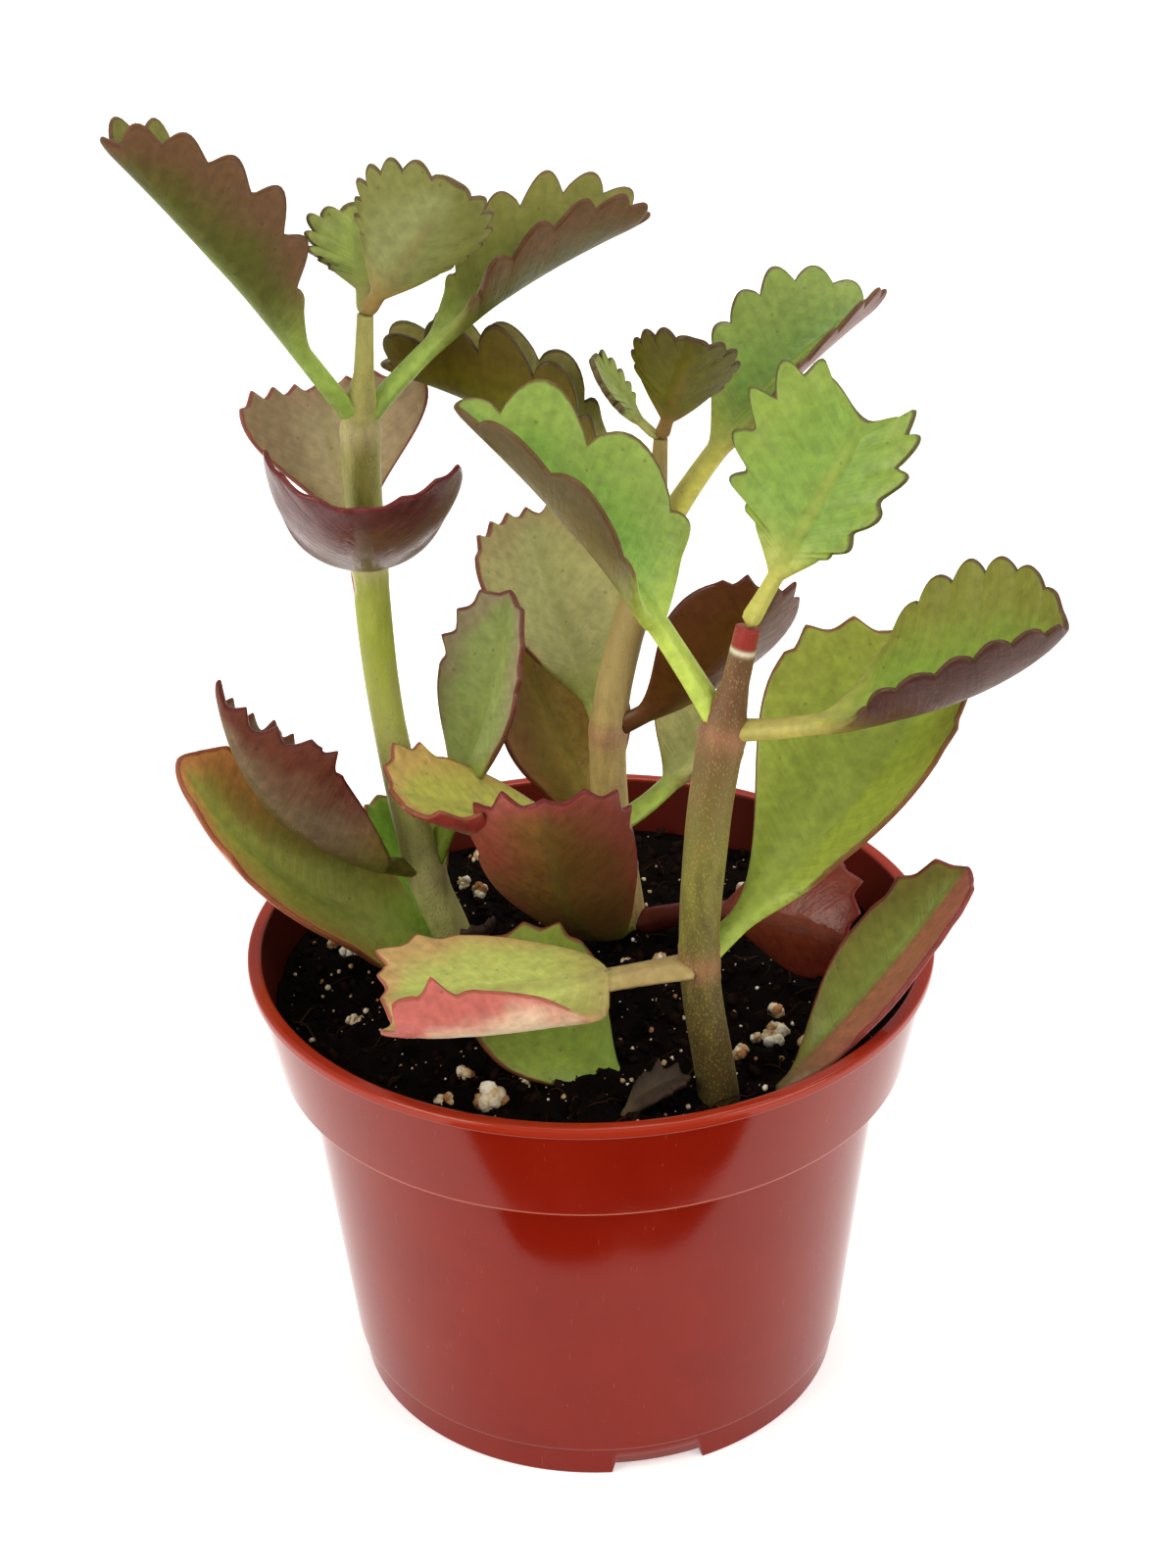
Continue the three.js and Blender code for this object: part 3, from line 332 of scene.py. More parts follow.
# Each leaf skin: the colours of its upper face by the midrib and towards the margin, of its lower
# face the same way, of the stalk and of the thin rim, and how far out the marginal colours begin
# and end, as a mix of the way out to the margin and the way along to the tip.
SKINS = {
    "crown": ("#767C34", "#7A783A", "#565620", "#684C30", "#93A850", "#5A3020", 0.35, 0.95),
    "crown_pale": ("#7FA046", "#86994A", "#66581A", "#54461A", "#AEBE56", "#58301F", 0.3, 0.9),
    "crown_green": ("#718C3C", "#7E8E44", "#80503C", "#683A2E", "#B3AD55", "#5A3024", 0.3, 0.95),
    "crown_broad": ("#7A9138", "#7C7C36", "#523324", "#4A2A20", "#A89E55", "#4B2620", 0.3, 0.95),
    "olive": ("#A09E5E", "#8E864C", "#6B6519", "#645619", "#9AA048", "#3F2A15", 0.3, 0.9),
    "young": ("#7C9541", "#849645", "#909450", "#7C8440", "#BAB560", "#4A3522", 0.6, 1),
    "bud": ("#ACB06C", "#A2A262", "#838652", "#7A7A40", "#967E4A", "#503020", 0.35, 0.95),
    "bud_dark": ("#727420", "#666618", "#64620E", "#5A5416", "#8A6E42", "#462C16", 0.25, 0.9),
    "bud_back": ("#9EAC5C", "#969E56", "#8E9A66", "#7E7A52", "#A2A15F", "#5A4432", 0.5, 1),
    "maroon": ("#74523E", "#653731", "#644034", "#5A3230", "#6E6A40", "#6A2420", 0.15, 0.75),
    "mauve": ("#A29370", "#9C8668", "#8D7355", "#885546", "#A9A05C", "#7A342E", 0.4, 0.95),
    "plum": ("#735A34", "#6F4A2E", "#806E56", "#704032", "#7A7436", "#5E201C", 0.3, 0.85),
    "sage": ("#8E9856", "#968A68", "#7F8A4A", "#8A5A44", "#8FA23E", "#6A2A2A", 0.6, 1),
    "moss": ("#B0B45C", "#D09A60", "#98A048", "#B07048", "#8FB04A", "#7A382C", 0.35, 0.95),
    "apple": ("#80A63C", "#8CA848", "#84A448", "#8C8646", "#8CAC58", "#7A3A2E", 0.6, 1),
    "basal": ("#8A9C3A", "#88943C", "#788C36", "#8A6238", "#94AE4E", "#6E2420", 0.6, 1),
    "withered": ("#4C3E30", "#40342A", "#50402F", "#3E3024", "#6C5C46", "#423022", 0.2, 0.8),
    "wine": ("#6E5A2A", "#723230", "#7C5C30", "#944E40", "#7A8434", "#6A1C20", 0.45, 1.05),
    "bronze": ("#90782E", "#8A5E34", "#7A6C2A", "#7C4C28", "#8E8A40", "#62261C", 0.4, 1),
    "lime": ("#BEBC62", "#C8AA6A", "#A88A70", "#A0463F", "#98A050", "#7A2E28", 0.55, 0.98),
    "coral": ("#B2B866", "#B89A66", "#DCC8A8", "#B4645A", "#A08C5C", "#8A3A32", 0.55, 0.98),
    "fresh": ("#C0C282", "#C8C286", "#A8A865", "#A87A5C", "#A9BE5A", "#6A4638", 0.5, 1),
    "tan": ("#ACAA72", "#A49868", "#96925C", "#8F6E50", "#9EA456", "#7A3430", 0.5, 1),
    "umber": ("#6E4418", "#603814", "#5C3E16", "#5C3618", "#6E4A2A", "#52221A", 0.3, 0.9),
    "blood": ("#5A1C10", "#4E1410", "#7E442C", "#743424", "#70302A", "#6A1A18", 0.2, 0.9),
    "green": ("#8E9A40", "#8F953F", "#7F8A3D", "#80603A", "#98A84A", "#6A2E22", 0.6, 1),
    "rose": ("#869440", "#76702F", "#8A5A46", "#8A4038", "#74603A", "#6E2424", 0.3, 0.95),
}

# The roughness of a leaf skin, of those that are glossier or duller, and the colour of a right half,
# seen from the stem, that differs from the left one.
SKIN_ROUGHNESS = 0.42
GLOSSY_OR_DULL = {"maroon": 0.3, "plum": 0.34, "umber": 0.34, "blood": 0.34, "withered": 0.7}
RIGHT_HALF = {"rose": "#A8645A"}

# The photograph's camera, fitted to the pot's rim, collar and foot: how far it looks down and leans,
# in degrees, how far it stands from the point that it looks at, and its lens by the picture's pixels.
CAMERA_DOWN_DEG = 28.16
CAMERA_ROLL_DEG = -1.27
CAMERA_DISTANCE = 442.3
CAMERA_TARGET = (0.10, 0, 102.6)
LENS_PIXELS = 2942
PICTURE_PIXELS = 1600
SENSOR = 36

# The studio: soft square lights by name, place and side in metres, power and colour, the half width
# of the floor in metres, and the outline of the black card.
LIGHTS = [
    ("window_left", (-1.2, -0.9, 0.9), 0.9, 13, (1, 0.98, 0.94)),
    ("window_right", (1.2, -0.7, 0.8), 0.9, 8, (1, 0.98, 0.94)),
    ("ceiling", (0.1, 0.4, 1.6), 1.2, 10, (1, 0.98, 0.95)),
]
LIT_POINT = (0, 0, 0.1)
FLOOR_REACH = 4
CARD_HEIGHT = 0.2
CARD_NEAR_EDGE = [(80, -70), (60, -71), (41, -75), (12, -84), (-8, -82), (-36, -77), (-62, -80),
                  (-80, -84)]
CARD_FAR_EDGE = [(-900, -1500), (900, -1500)]


# Mesh making

def smooth(start, end, x):
    """0 up to start, 1 from end on, and a smooth cubic step between them."""
    t = np.clip((x - start) / (end - start), 0, 1)
    return t * t * (3 - 2 * t)


def hump(x, width):
    """1 where x is 0, and an even fall to 0 on both sides, like a bell of this width."""
    return np.exp(-(x / width) ** 2)


def quarter_arc(x):
    """The height of a quarter circle that starts upright at 0 and is level at 1."""
    return np.sqrt(1 - (1 - x) ** 2)


def unit(vectors):
    """The vectors, each divided by its own length."""
    return vectors / np.linalg.norm(vectors, axis=-1, keepdims=True)


def way_along(points):
    """How far each point of a line lies from its first one, along the line."""
    return np.concatenate([[0], np.cumsum(np.linalg.norm(np.diff(points, axis=0), axis=1))])


def grid_faces(rows, columns, first=0, closed=False, flipped=False):
    """Quads over a grid of points numbered row by row. closed joins the last column to the first."""
    number = np.arange(rows * columns).reshape(rows, columns) + first
    right = np.roll(number, -1, axis=1) if closed else number[:, 1:]
    left = number if closed else number[:, :-1]
    quads = np.stack([left[:-1], left[1:], right[1:], right[:-1]], axis=-1).reshape(-1, 4)
    return quads[:, ::-1] if flipped else quads


def tube_faces(rows, segments):
    """Quads over rings of points numbered ring by ring, and a cap on the first and the last ring."""
    faces = grid_faces(rows, segments, closed=True, flipped=True).tolist()
    faces.append(list(range(segments))[::-1])
    faces.append(list(range((rows - 1) * segments, rows * segments)))
    return faces


def add_object(name, data):
    """Puts a mesh, a light or a camera into the scene as an object."""
    thing = bpy.data.objects.new(name, data)
    bpy.context.scene.collection.objects.link(thing)
    return thing


def make_piece(name, points, faces, material, values=None, merge=0.0, nodes=()):
    """Makes a smooth mesh from points in millimetres and puts it on the part.

    values holds named numbers, one for each point. Points nearer than merge are made one. nodes are
    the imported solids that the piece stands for.
    """
    mesh = bpy.data.meshes.new(name)
    mesh.from_pydata((points * MM).tolist(), [], [list(face) for face in faces])
    for key, numbers in (values or {}).items():
        layer = mesh.attributes.new(key, "FLOAT", "POINT")
        layer.data.foreach_set("value", np.ascontiguousarray(numbers, dtype=np.float32).ravel())
    if merge:
        edit = bmesh.new()
        edit.from_mesh(mesh)
        bmesh.ops.remove_doubles(edit, verts=edit.verts, dist=merge * MM)
        bmesh.ops.dissolve_degenerate(edit, edges=edit.edges, dist=merge * MM)
        edit.to_mesh(mesh)
        edit.free()
    mesh.polygons.foreach_set("use_smooth", np.ones(len(mesh.polygons), dtype=bool))
    mesh.materials.append(material)
    mesh.update()
    piece = add_object(name, mesh)
    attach(piece, "root")
    if nodes:
        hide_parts(*nodes)
    return piece


# Materials

def linear(code):
    """A linear colour from an sRGB hex value."""
    parts = np.array([int(code[i:i + 2], 16) for i in (1, 3, 5)]) / 255
    light = np.where(parts <= 0.04045, parts / 12.92, ((parts + 0.055) / 1.055) ** 2.4)
    return (*light.tolist(), 1.0)


def per_mm(size):
    """A texture scale whose pattern repeats about every size millimetres."""
    return 1 / (size * MM)


def feed(tree, node, inputs):
    """Sets each named or numbered input of a node, or links it where its value is a socket."""
    for key, value in inputs.items():
        if isinstance(value, bpy.types.NodeSocket):
            tree.links.new(value, node.inputs[key])
        else:
            node.inputs[key].default_value = value


def add_node(tree, kind, inputs=None, out=0, **settings):
    """Adds a node with its settings and inputs, and gives back the output that is named."""
    node = tree.nodes.new(f"ShaderNode{kind}")
    for key, value in settings.items():
        setattr(node, key, value)
    feed(tree, node, inputs or {})
    return node.outputs[out]


def new_material(name):
    """A material with one Principled shader, given back with its tree and that shader."""
    material = bpy.data.materials.new(name)
    material.use_nodes = True
    tree = material.node_tree
    return material, tree, tree.nodes["Principled BSDF"]


def leaf_skin(name):
    """Living leaf skin: waxy cuticle over flesh, so colour sits deep and highlights are soft.

    The eye sees green flushed brown-red towards the margins, at the teeth and beneath, a thin dark
    rim, a paler midrib, faint striations along the ribs, fine mottling and a few dark freckles.
    """
    *faces, stalk, rim, begin, end = SKINS[name]
    material, tree, shader = new_material(f"leaf_skin_{name}")
    place = add_node(tree, "TexCoord", out="Object")
    read = {
        key: add_node(tree, "Attribute", out="Fac", attribute_name=key)
        for key in ("along", "across", "upper", "rim", "stalk", "midrib", "crest", "left", "rib")
    }
    blotch, mottle, grain = (
        add_node(tree, "TexNoise", {
            "Vector": place, "Scale": per_mm(size), "Detail": detail, "Roughness": rough})
        for size, detail, rough in ((7, 3.0, 0.55), (1.6, 2.0, 0.5), (0.45, 1.0, 0.5))
    )
    out = add_node(tree, "Math", {0: read["across"], 1: 1.6 * MM}, operation="MULTIPLY")
    ribs = add_node(tree, "CombineXYZ", {0: read["rib"], 1: out, 2: read["left"]})
    streak = add_node(tree, "TexNoise", {"Vector": ribs, "Scale": per_mm(1.1), "Detail": 2.0})

    outward = add_node(tree, "Math", {0: read["along"], 1: 0.45}, operation="MULTIPLY")
    for source, weight in ((read["across"], 0.62), (blotch, 0.5), (read["crest"], 0.45)):
        outward = add_node(tree, "Math", {0: source, 1: weight, 2: outward}, operation="MULTIPLY_ADD")
    flush = add_node(tree, "MapRange", {
        "Value": outward, "From Min": begin + 0.25, "From Max": end + 0.25},
        interpolation_type="SMOOTHSTEP")
    upper, lower = (
        add_node(tree, "Mix", {0: flush, 6: linear(inner), 7: linear(outer)}, 2, data_type="RGBA")
        for inner, outer in (faces[:2], faces[2:])
    )
    vein = add_node(tree, "Math", {0: read["midrib"], 1: 0.35}, operation="MULTIPLY")
    vein = add_node(tree, "Math", {0: vein, 1: read["stalk"]}, operation="MAXIMUM")
    ragged = add_node(tree, "Math", {0: mottle, 1: -0.9, 2: read["rim"]}, operation="MULTIPLY_ADD")
    margin = add_node(tree, "MapRange", {
        "Value": ragged, "From Min": 0.25, "From Max": -0.15, "To Max": 0.75})
    cells = add_node(tree, "TexVoronoi", {"Vector": place, "Scale": per_mm(3.1)})
    freckle = add_node(tree, "MapRange", {
        "Value": cells, "From Min": 0.11, "From Max": 0.06, "To Max": 0.3})
    layers = [(read["upper"], upper), (vein, linear(stalk)), (margin, linear(rim)),
              (freckle, linear("#3A2A16"))]
    if name in RIGHT_HALF:
        right = add_node(tree, "MapRange", {
            "Value": read["left"], "From Min": 1.0, "From Max": 0.0, "To Max": 0.85})
        layers.insert(1, (right, linear(RIGHT_HALF[name])))
    colour = lower
    for share, tint in layers:
        colour = add_node(tree, "Mix", {0: share, 6: colour, 7: tint}, 2, data_type="RGBA")
    shade = add_node(tree, "Math", {0: streak, 1: 0.5, 2: mottle}, operation="MULTIPLY_ADD")
    shade = add_node(tree, "MapRange", {
        "Value": shade, "From Min": 0.5, "From Max": 1.0, "To Min": 0.84, "To Max": 1.16})
    colour = add_node(tree, "HueSaturation", {"Value": shade, "Color": colour})

    gloss = GLOSSY_OR_DULL.get(name, SKIN_ROUGHNESS)
    sheen = add_node(tree, "MapRange", {
        "Value": blotch, "From Min": 0.3, "From Max": 0.7, "To Min": gloss - 0.08,
        "To Max": gloss + 0.08})
    relief = grain
    for source in (mottle, streak):
        relief = add_node(tree, "Math", {0: source, 1: 2.5, 2: relief}, operation="MULTIPLY_ADD")
    bump = add_node(tree, "Bump", {"Height": relief, "Strength": 0.4, "Distance": 0.1 * MM})
    feed(tree, shader, {
        "Base Color": colour,
        "Roughness": sheen,
        "Normal": bump,
        "IOR": 1.45,
        "Specular IOR Level": 0.4,
        "Subsurface Weight": 0.12,
        "Subsurface Radius": (1.0, 0.8, 0.35),
        "Subsurface Scale": 1.2 * MM,
    })
    return material


def stem_skin(name):
    """Young green bark: a thin dull skin with fine pale papillae that frost its sides, and pinkish
    tan at its nodes. The marks are a healed scar with a cream rim and a red end by a papery ring.
    The papillae are drawn as coarse as they need to be to show."""
    *shades, joint = BARK[name]
    material, tree, shader = new_material(f"stem_skin_{name}")
    place = add_node(tree, "TexCoord", out="Object")
    read = {
        key: add_node(tree, "Attribute", out="Fac", attribute_name=key)
        for key in ("along", "near_node", "red_mark", "pale_mark")
    }
    long, short = (
        add_node(tree, "Mapping", {"Vector": place, "Scale": (1.0, 1.0, stretch)}, vector_type="POINT")
        for stretch in (0.25, 0.5)
    )
    streak = add_node(tree, "TexNoise", {
        "Vector": long, "Scale": per_mm(1.4), "Detail": 4.0, "Roughness": 0.6})
    height = add_node(tree, "Math", {0: streak, 1: 0.3, 2: read["along"]}, operation="MULTIPLY_ADD")
    bark = add_node(tree, "ValToRGB", {"Fac": height})
    stops = bark.node.color_ramp.elements
    stops[0].position = 0.3
    stops[1].position = 0.98
    stops.new(0.68)
    for stop, code in zip(stops, shades):
        stop.color = linear(code)
    dots = add_node(tree, "TexVoronoi", {"Vector": short, "Scale": per_mm(0.36)})
    papilla = add_node(tree, "MapRange", {"Value": dots, "From Min": 0.42, "From Max": 0.12})
    frost = add_node(tree, "Math", {0: papilla, 1: 0.35}, operation="MULTIPLY")
    shade = add_node(tree, "MapRange", {
        "Value": streak, "From Min": 0.3, "From Max": 0.7, "To Min": 0.8, "To Max": 1.14})
    colour = bark
    for share, code in ((read["near_node"], joint), (frost, "#B4AA62")):
        colour = add_node(tree, "Mix", {0: share, 6: colour, 7: linear(code)}, 2, data_type="RGBA")
    colour = add_node(tree, "HueSaturation", {"Value": shade, "Color": colour})
    for share, code in ((read["pale_mark"], "#D9CFB4"), (read["red_mark"], "#8E2A20")):
        colour = add_node(tree, "Mix", {0: share, 6: colour, 7: linear(code)}, 2, data_type="RGBA")
    relief = add_node(tree, "Math", {0: streak, 1: 0.8, 2: papilla}, operation="MULTIPLY_ADD")
    bump = add_node(tree, "Bump", {"Height": relief, "Strength": 0.7, "Distance": 0.1 * MM})
    feed(tree, shader, {
        "Base Color": colour,
        "Normal": bump,
        "Roughness": 0.5,
        "Specular IOR Level": 0.4,
        "Sheen Weight": 0.25,
        "Sheen Tint": linear("#D8D2B0"),
        "Subsurface Weight": 0.08,
        "Subsurface Radius": (1.0, 0.8, 0.35),
        "Subsurface Scale": 1.0 * MM,
    })
    return material


def pot_plastic():
    """Injection-moulded polypropylene, thin and brick red: a clear gloss with fine handling
    scratches and cloudy smears, a painted highlight along the lip and at the edges of the foot
    ring and collar, and painted shade on its duller inner wall."""
    material, tree, shader = new_material("moulded_polypropylene")
    place = add_node(tree, "TexCoord", out="Object")
    # The inner wall, painted darker as painted shade and made duller.
    shaded_inner_wall = add_node(tree, "Attribute", out="Fac", attribute_name="shaded_inner_wall")
    cloud = add_node(tree, "TexNoise", {
        "Vector": place, "Scale": per_mm(16), "Detail": 4.0, "Roughness": 0.6})
    fine = add_node(tree, "TexNoise", {"Vector": place, "Scale": per_mm(0.8), "Detail": 2.0})
    tall = add_node(tree, "Mapping", {
        "Vector": place, "Rotation": (0.15, 0.1, 0.0), "Scale": (1.0, 1.0, 0.035)})
    lines = add_node(tree, "TexNoise", {
        "Vector": tall, "Scale": per_mm(0.5), "Detail": 3.0, "Roughness": 0.7})
    scratch = add_node(tree, "MapRange", {"Value": lines, "From Min": 0.66, "From Max": 0.74})
    height = add_node(tree, "SeparateXYZ", {0: place}, "Z")
    # Fine scratches, paler than the plastic, and thin pale lines at the foot ring's top and the collar's
    # foot that are painted highlight.
    scratches_and_edge_highlights = scratch
    for edge in (FOOT_HEIGHT, COLLAR_FOOT_Z + 0.2):
        near = add_node(tree, "Math", {0: height, 1: edge * MM, 2: 0.3 * MM}, operation="COMPARE")
        scratches_and_edge_highlights = add_node(tree, "Math", {0: near, 1: 3.5, 2: scratches_and_edge_highlights}, operation="MULTIPLY_ADD")
    scratches_and_edge_highlights = add_node(tree, "Math", {0: scratches_and_edge_highlights, 1: 0.12}, operation="MULTIPLY")
    # A lighter band just under the lip's top is painted highlight.
    lip_highlight = add_node(tree, "MapRange", {
        "Value": height, "From Min": (POT_HEIGHT - 1.9) * MM, "From Max": (POT_HEIGHT - 1.1) * MM})
    cloudy = add_node(tree, "MapRange", {"Value": cloud, "From Min": 0.3, "From Max": 0.7})
    colour = linear("#7A1906")
    # The plastic's own red and cloudy tone, then the painted highlight on the lip, the scratches with
    # the painted highlight on the edges, and the painted shade on the inner wall.
    for share, code in ((cloudy, "#821E09"), (lip_highlight, "#96301A"), (scratches_and_edge_highlights, "#C07058"), (shaded_inner_wall, "#641C0C")):
        colour = add_node(tree, "Mix", {0: share, 6: colour, 7: linear(code)}, 2, data_type="RGBA")
    rough = add_node(tree, "MapRange", {
        "Value": cloud, "From Min": 0.3, "From Max": 0.7, "To Min": 0.1, "To Max": 0.15})
    for source, weight in ((scratch, 0.2), (shaded_inner_wall, 0.35)):
        rough = add_node(tree, "Math", {0: source, 1: weight, 2: rough}, operation="MULTIPLY_ADD")
    relief = add_node(tree, "Math", {0: scratch, 1: -0.5, 2: fine}, operation="MULTIPLY_ADD")
    bump = add_node(tree, "Bump", {"Height": relief, "Strength": 0.1, "Distance": 0.06 * MM})
    feed(tree, shader, {
        "Base Color": colour,
        "Roughness": rough,
        "Normal": bump,
        "IOR": 1.49,
        "Specular IOR Level": 0.4,
    })
    return material


def peat(name, dark, light, rough):
    """Moist peat: near black with brown fibre, dull but with small wet glints."""
    material, tree, shader = new_material(name)
    place = add_node(tree, "TexCoord", out="Object")
    shade = add_node(tree, "Attribute", out="Fac", attribute_name="shade")
    clod = add_node(tree, "TexNoise", {
        "Vector": place, "Scale": per_mm(2.2), "Detail": 5.0, "Roughness": 0.7})
    mixed = add_node(tree, "Math", {0: shade, 1: 0.75, 2: clod}, operation="MULTIPLY_ADD")
    amount = add_node(tree, "MapRange", {"Value": mixed, "From Min": 0.5, "From Max": 1.35})
    colour = add_node(tree, "Mix", {0: amount, 6: linear(dark), 7: linear(light)}, 2,
                      data_type="RGBA")
    bump = add_node(tree, "Bump", {"Height": clod, "Strength": 0.9, "Distance": 0.8 * MM})
    feed(tree, shader, {
        "Base Color": colour, "Normal": bump, "Roughness": rough, "Specular IOR Level": 0.1})
    return material


def perlite():
    """Expanded volcanic glass: chalky white foam, pitted, tinged cream and here and there orange."""
    material, tree, shader = new_material("perlite")
    place = add_node(tree, "TexCoord", out="Object")
    shade = add_node(tree, "Attribute", out="Fac", attribute_name="shade")
    stain = add_node(tree, "TexNoise", {"Vector": place, "Scale": per_mm(1.6), "Detail": 3.0})
    mixed = add_node(tree, "Math", {0: shade, 1: 0.55, 2: stain}, operation="MULTIPLY_ADD")
    colour = add_node(tree, "ValToRGB", {"Fac": mixed})
    stops = colour.node.color_ramp.elements
    stops[0].position = 0.35
    stops.new(0.75)
    for stop, code in zip(stops, ("#EFE9DA", "#D5C4A0", "#A9774A")):
        stop.color = linear(code)
    pits = add_node(tree, "TexVoronoi", {"Vector": place, "Scale": per_mm(0.6)})
    bump = add_node(tree, "Bump", {"Height": pits, "Strength": 0.6, "Distance": 0.3 * MM})
    feed(tree, shader, {"Base Color": colour, "Normal": bump, "Roughness": 0.85})
    return material


# Leaves

def chance(index, seed, side):
    """A number from 0 to 1 that depends only on its arguments."""
    value = np.abs(np.sin(index * 12.9898 + seed * 78.233 + side * 3.7) * 43758.5453)
    return value - np.floor(value)


def midrib_of(leaf):
    """The midrib, a quadratic curve from the leaf's node to its tip, as points, their directions,
    the way along, and the level direction to the leaf's left."""
    base = leaf.get("base")
    if not base:
        stem = STEMS[leaf["name"].split("_")[0]]
        base = stem["points"][stem["nodes"][leaf["node"]]][:3]
    base = np.array(base, float)
    tip = np.array(leaf["tip"], float)
    chord = tip - base
    side = unit(np.cross([0, 0, 1], chord))
    upper = np.cross(unit(chord), side)
    bend = base + chord * leaf["knee"] + upper * 2 * leaf["lift"]
    t = np.linspace(0, 1, MIDRIB_POINTS)[:, None]
    points = (1 - t) ** 2 * base + 2 * t * (1 - t) * bend + t * t * tip
    along = unit((1 - t) * (bend - base) + t * (tip - bend))
    return points, along, way_along(points), side


def smooth_outline(leaf, length):
    """Half of the flat outline without lobes, from the tip round to the stalk's foot: a rounded end,
    a foot that narrows by a sine, and a stalk that flares. The last array is the way along it."""
    petiole, stalk, half = leaf["petiole"], leaf["stalk"], leaf["half"]
    widest = petiole + (length - petiole) * leaf["widest"]
    power = 2 / leaf["blunt"]
    angle = np.linspace(0, np.pi / 2, OUTLINE_POINTS[0])
    blade = np.linspace(1, 0, OUTLINE_POINTS[1])[1:]
    foot = np.linspace(1, 0, OUTLINE_POINTS[2])[1:]
    xs = np.concatenate([
        widest + (length - widest) * np.maximum(np.cos(angle), 0) ** power,
        petiole + (widest - petiole) * blade,
        petiole * foot,
    ])
    ys = np.concatenate([
        half * np.sin(angle) ** power,
        stalk + (half - stalk) * np.sin(np.pi / 2 * blade) ** leaf["cuneate"],
        stalk * (1 + FOOT_FLARE * (1 - foot) ** 2),
    ])
    way = np.concatenate([[0], np.cumsum(np.hypot(np.diff(xs), np.diff(ys)))])
    return xs, ys, way


def lobed_outline(leaf, length, outline, shares, side, seed):
    """The outline with its lobes at shares of the way from tip to foot: x, y, the place on the
    midrib where each rib begins, and how far up its lobe each place is."""
    xs, ys, way = outline
    petiole, half = leaf["petiole"], leaf["half"]
    here = shares * way[-1]
    step = 0.004 * way[-1]
    x = np.interp(here, way, xs)
    y = np.interp(here, way, ys)
    along_x = np.interp(here + step, way, xs) - np.interp(here - step, way, xs)
    along_y = np.interp(here + step, way, ys) - np.interp(here - step, way, ys)
    turn = np.where(along_x > along_y, -1, 1)
    run = np.hypot(along_x, along_y) + 1e-9
    lean = unit(np.stack([turn * along_y / run + LOBE_LEAN, -turn * along_x / run], axis=-1))
    x = x - np.where(shares < 0.5, leaf["dent"] * hump(y, 0.4 * half), 0)
    lobed = leaf["lobed"] * (1 - petiole / way[-1])
    phase = (shares / lobed) ** leaf["spread"] * leaf["lobes"] + 0.5
    lobe = np.floor(phase)
    swell = 0.75 + 0.25 * np.sin(np.pi * np.minimum(1, shares / lobed))
    plain = smooth(leaf["bare"] - 0.08, leaf["bare"], shares / lobed) if leaf["bare"] else 1
    fade = smooth(1, 0.88, shares / lobed) * swell * plain * np.where(lobe == 0, 0.8, 1)
    depth = leaf["depth"] * fade * (0.65 + 0.7 * chance(lobe, seed, np.where(lobe == 0, 0, side)))
    if leaf["round"]:
        wave = np.abs(np.sin(np.pi * phase)) ** leaf["crisp"]
    else:
        wave = 1 - np.abs(np.cos(np.pi * phase)) ** leaf["crisp"]
    out = depth * (wave - LOBE_CUT)
    rib_share = (length - 0.3 * half - petiole) / (length - petiole)
    foot = petiole + (x - petiole - RIB_SLANT * (y - leaf["stalk"])) * rib_share
    width = leaf["sides"][0 if side > 0 else 1]
    edge_y = np.where(shares <= 0, 0, np.maximum(0, y + lean[:, 1] * out) * width)
    return x + lean[:, 0] * out, edge_y, np.where(x > petiole, foot, x), wave * fade


def skin_points(leaf, midrib, x, y, lift, half_thick):
    """Points of the leaf's skin. x runs along the midrib and y out from it, positive on the left. A
    half leaves the midrib at its fold angle and bends up on an arc by its curl. An exponential of
    y rounds the crease between the halves. lift raises both skins alike, and half_thick puts this
    one above (+) or below (-) the middle."""
    points, directions, way, side = midrib
    length = way[-1]
    s = np.clip(x, 0, length)
    along = unit(np.stack([np.interp(s, way, directions[:, k]) for k in range(3)], axis=-1))
    centre = np.stack([np.interp(s, way, points[:, k]) for k in range(3)], axis=-1)
    centre = centre + along * (x - s)[..., None]
    left = unit(side - (along @ side)[..., None] * along)
    up = np.cross(along, left)
    roll = np.radians(leaf["roll"] + leaf["turn"] * s / length)[..., None]
    left, up = left * np.cos(roll) + up * np.sin(roll), up * np.cos(roll) - left * np.sin(roll)
    petiole = leaf["petiole"]
    share = 0.25 + 0.75 * smooth(0.4 * petiole, petiole + 0.35 * (length - petiole), s)
    fold = np.radians(np.where(y >= 0, *leaf["fold"])) * share
    bend = np.radians(np.where(y >= 0, *leaf["curl"])) * share / leaf["half"]
    bend = np.where(np.abs(bend) < 1e-5, 1e-5, bend)
    width = np.abs(y)
    sign = np.sign(y)
    angle = fold + bend * width
    crease = CREASE * leaf["half"]
    opened = 1 - np.exp(-width / crease)
    both = np.sin(np.radians(leaf["fold"][0]) * share) + np.sin(np.radians(leaf["fold"][1]) * share)
    out = (np.sin(angle) - np.sin(fold)) / bend + crease * (1 - np.cos(fold)) * opened
    rise = (np.cos(fold) - np.cos(angle)) / bend - crease * np.sin(fold) * opened
    rise = rise + crease * both / 2 + lift
    skin_up = np.cos(angle * opened)
    skin_out = -sign * np.sin(angle * opened)
    return (
        centre
        + left * (sign * out + skin_out * half_thick)[..., None]
        + up * (rise + skin_up * half_thick)[..., None]
    )


def margin_shares(leaf, way):
    """The places of a margin's points as shares of the way from tip to foot: many on the lobes, and
    fewer on the plain margin and along the stalk."""
    blade = 1 - leaf["petiole"] / way[-1]
    count = leaf["lobes"] * LOBE_POINTS
    lobes = np.arange(count - LOBE_POINTS // 2 + 1) / count
    lobes = lobes ** (1 / leaf["spread"]) * (leaf["lobed"] * blade)
    return np.concatenate([
        lobes,
        np.linspace(lobes[-1], blade, PLAIN_POINTS)[1:],
        np.linspace(blade, 1, STALK_POINTS)[1:],
    ])


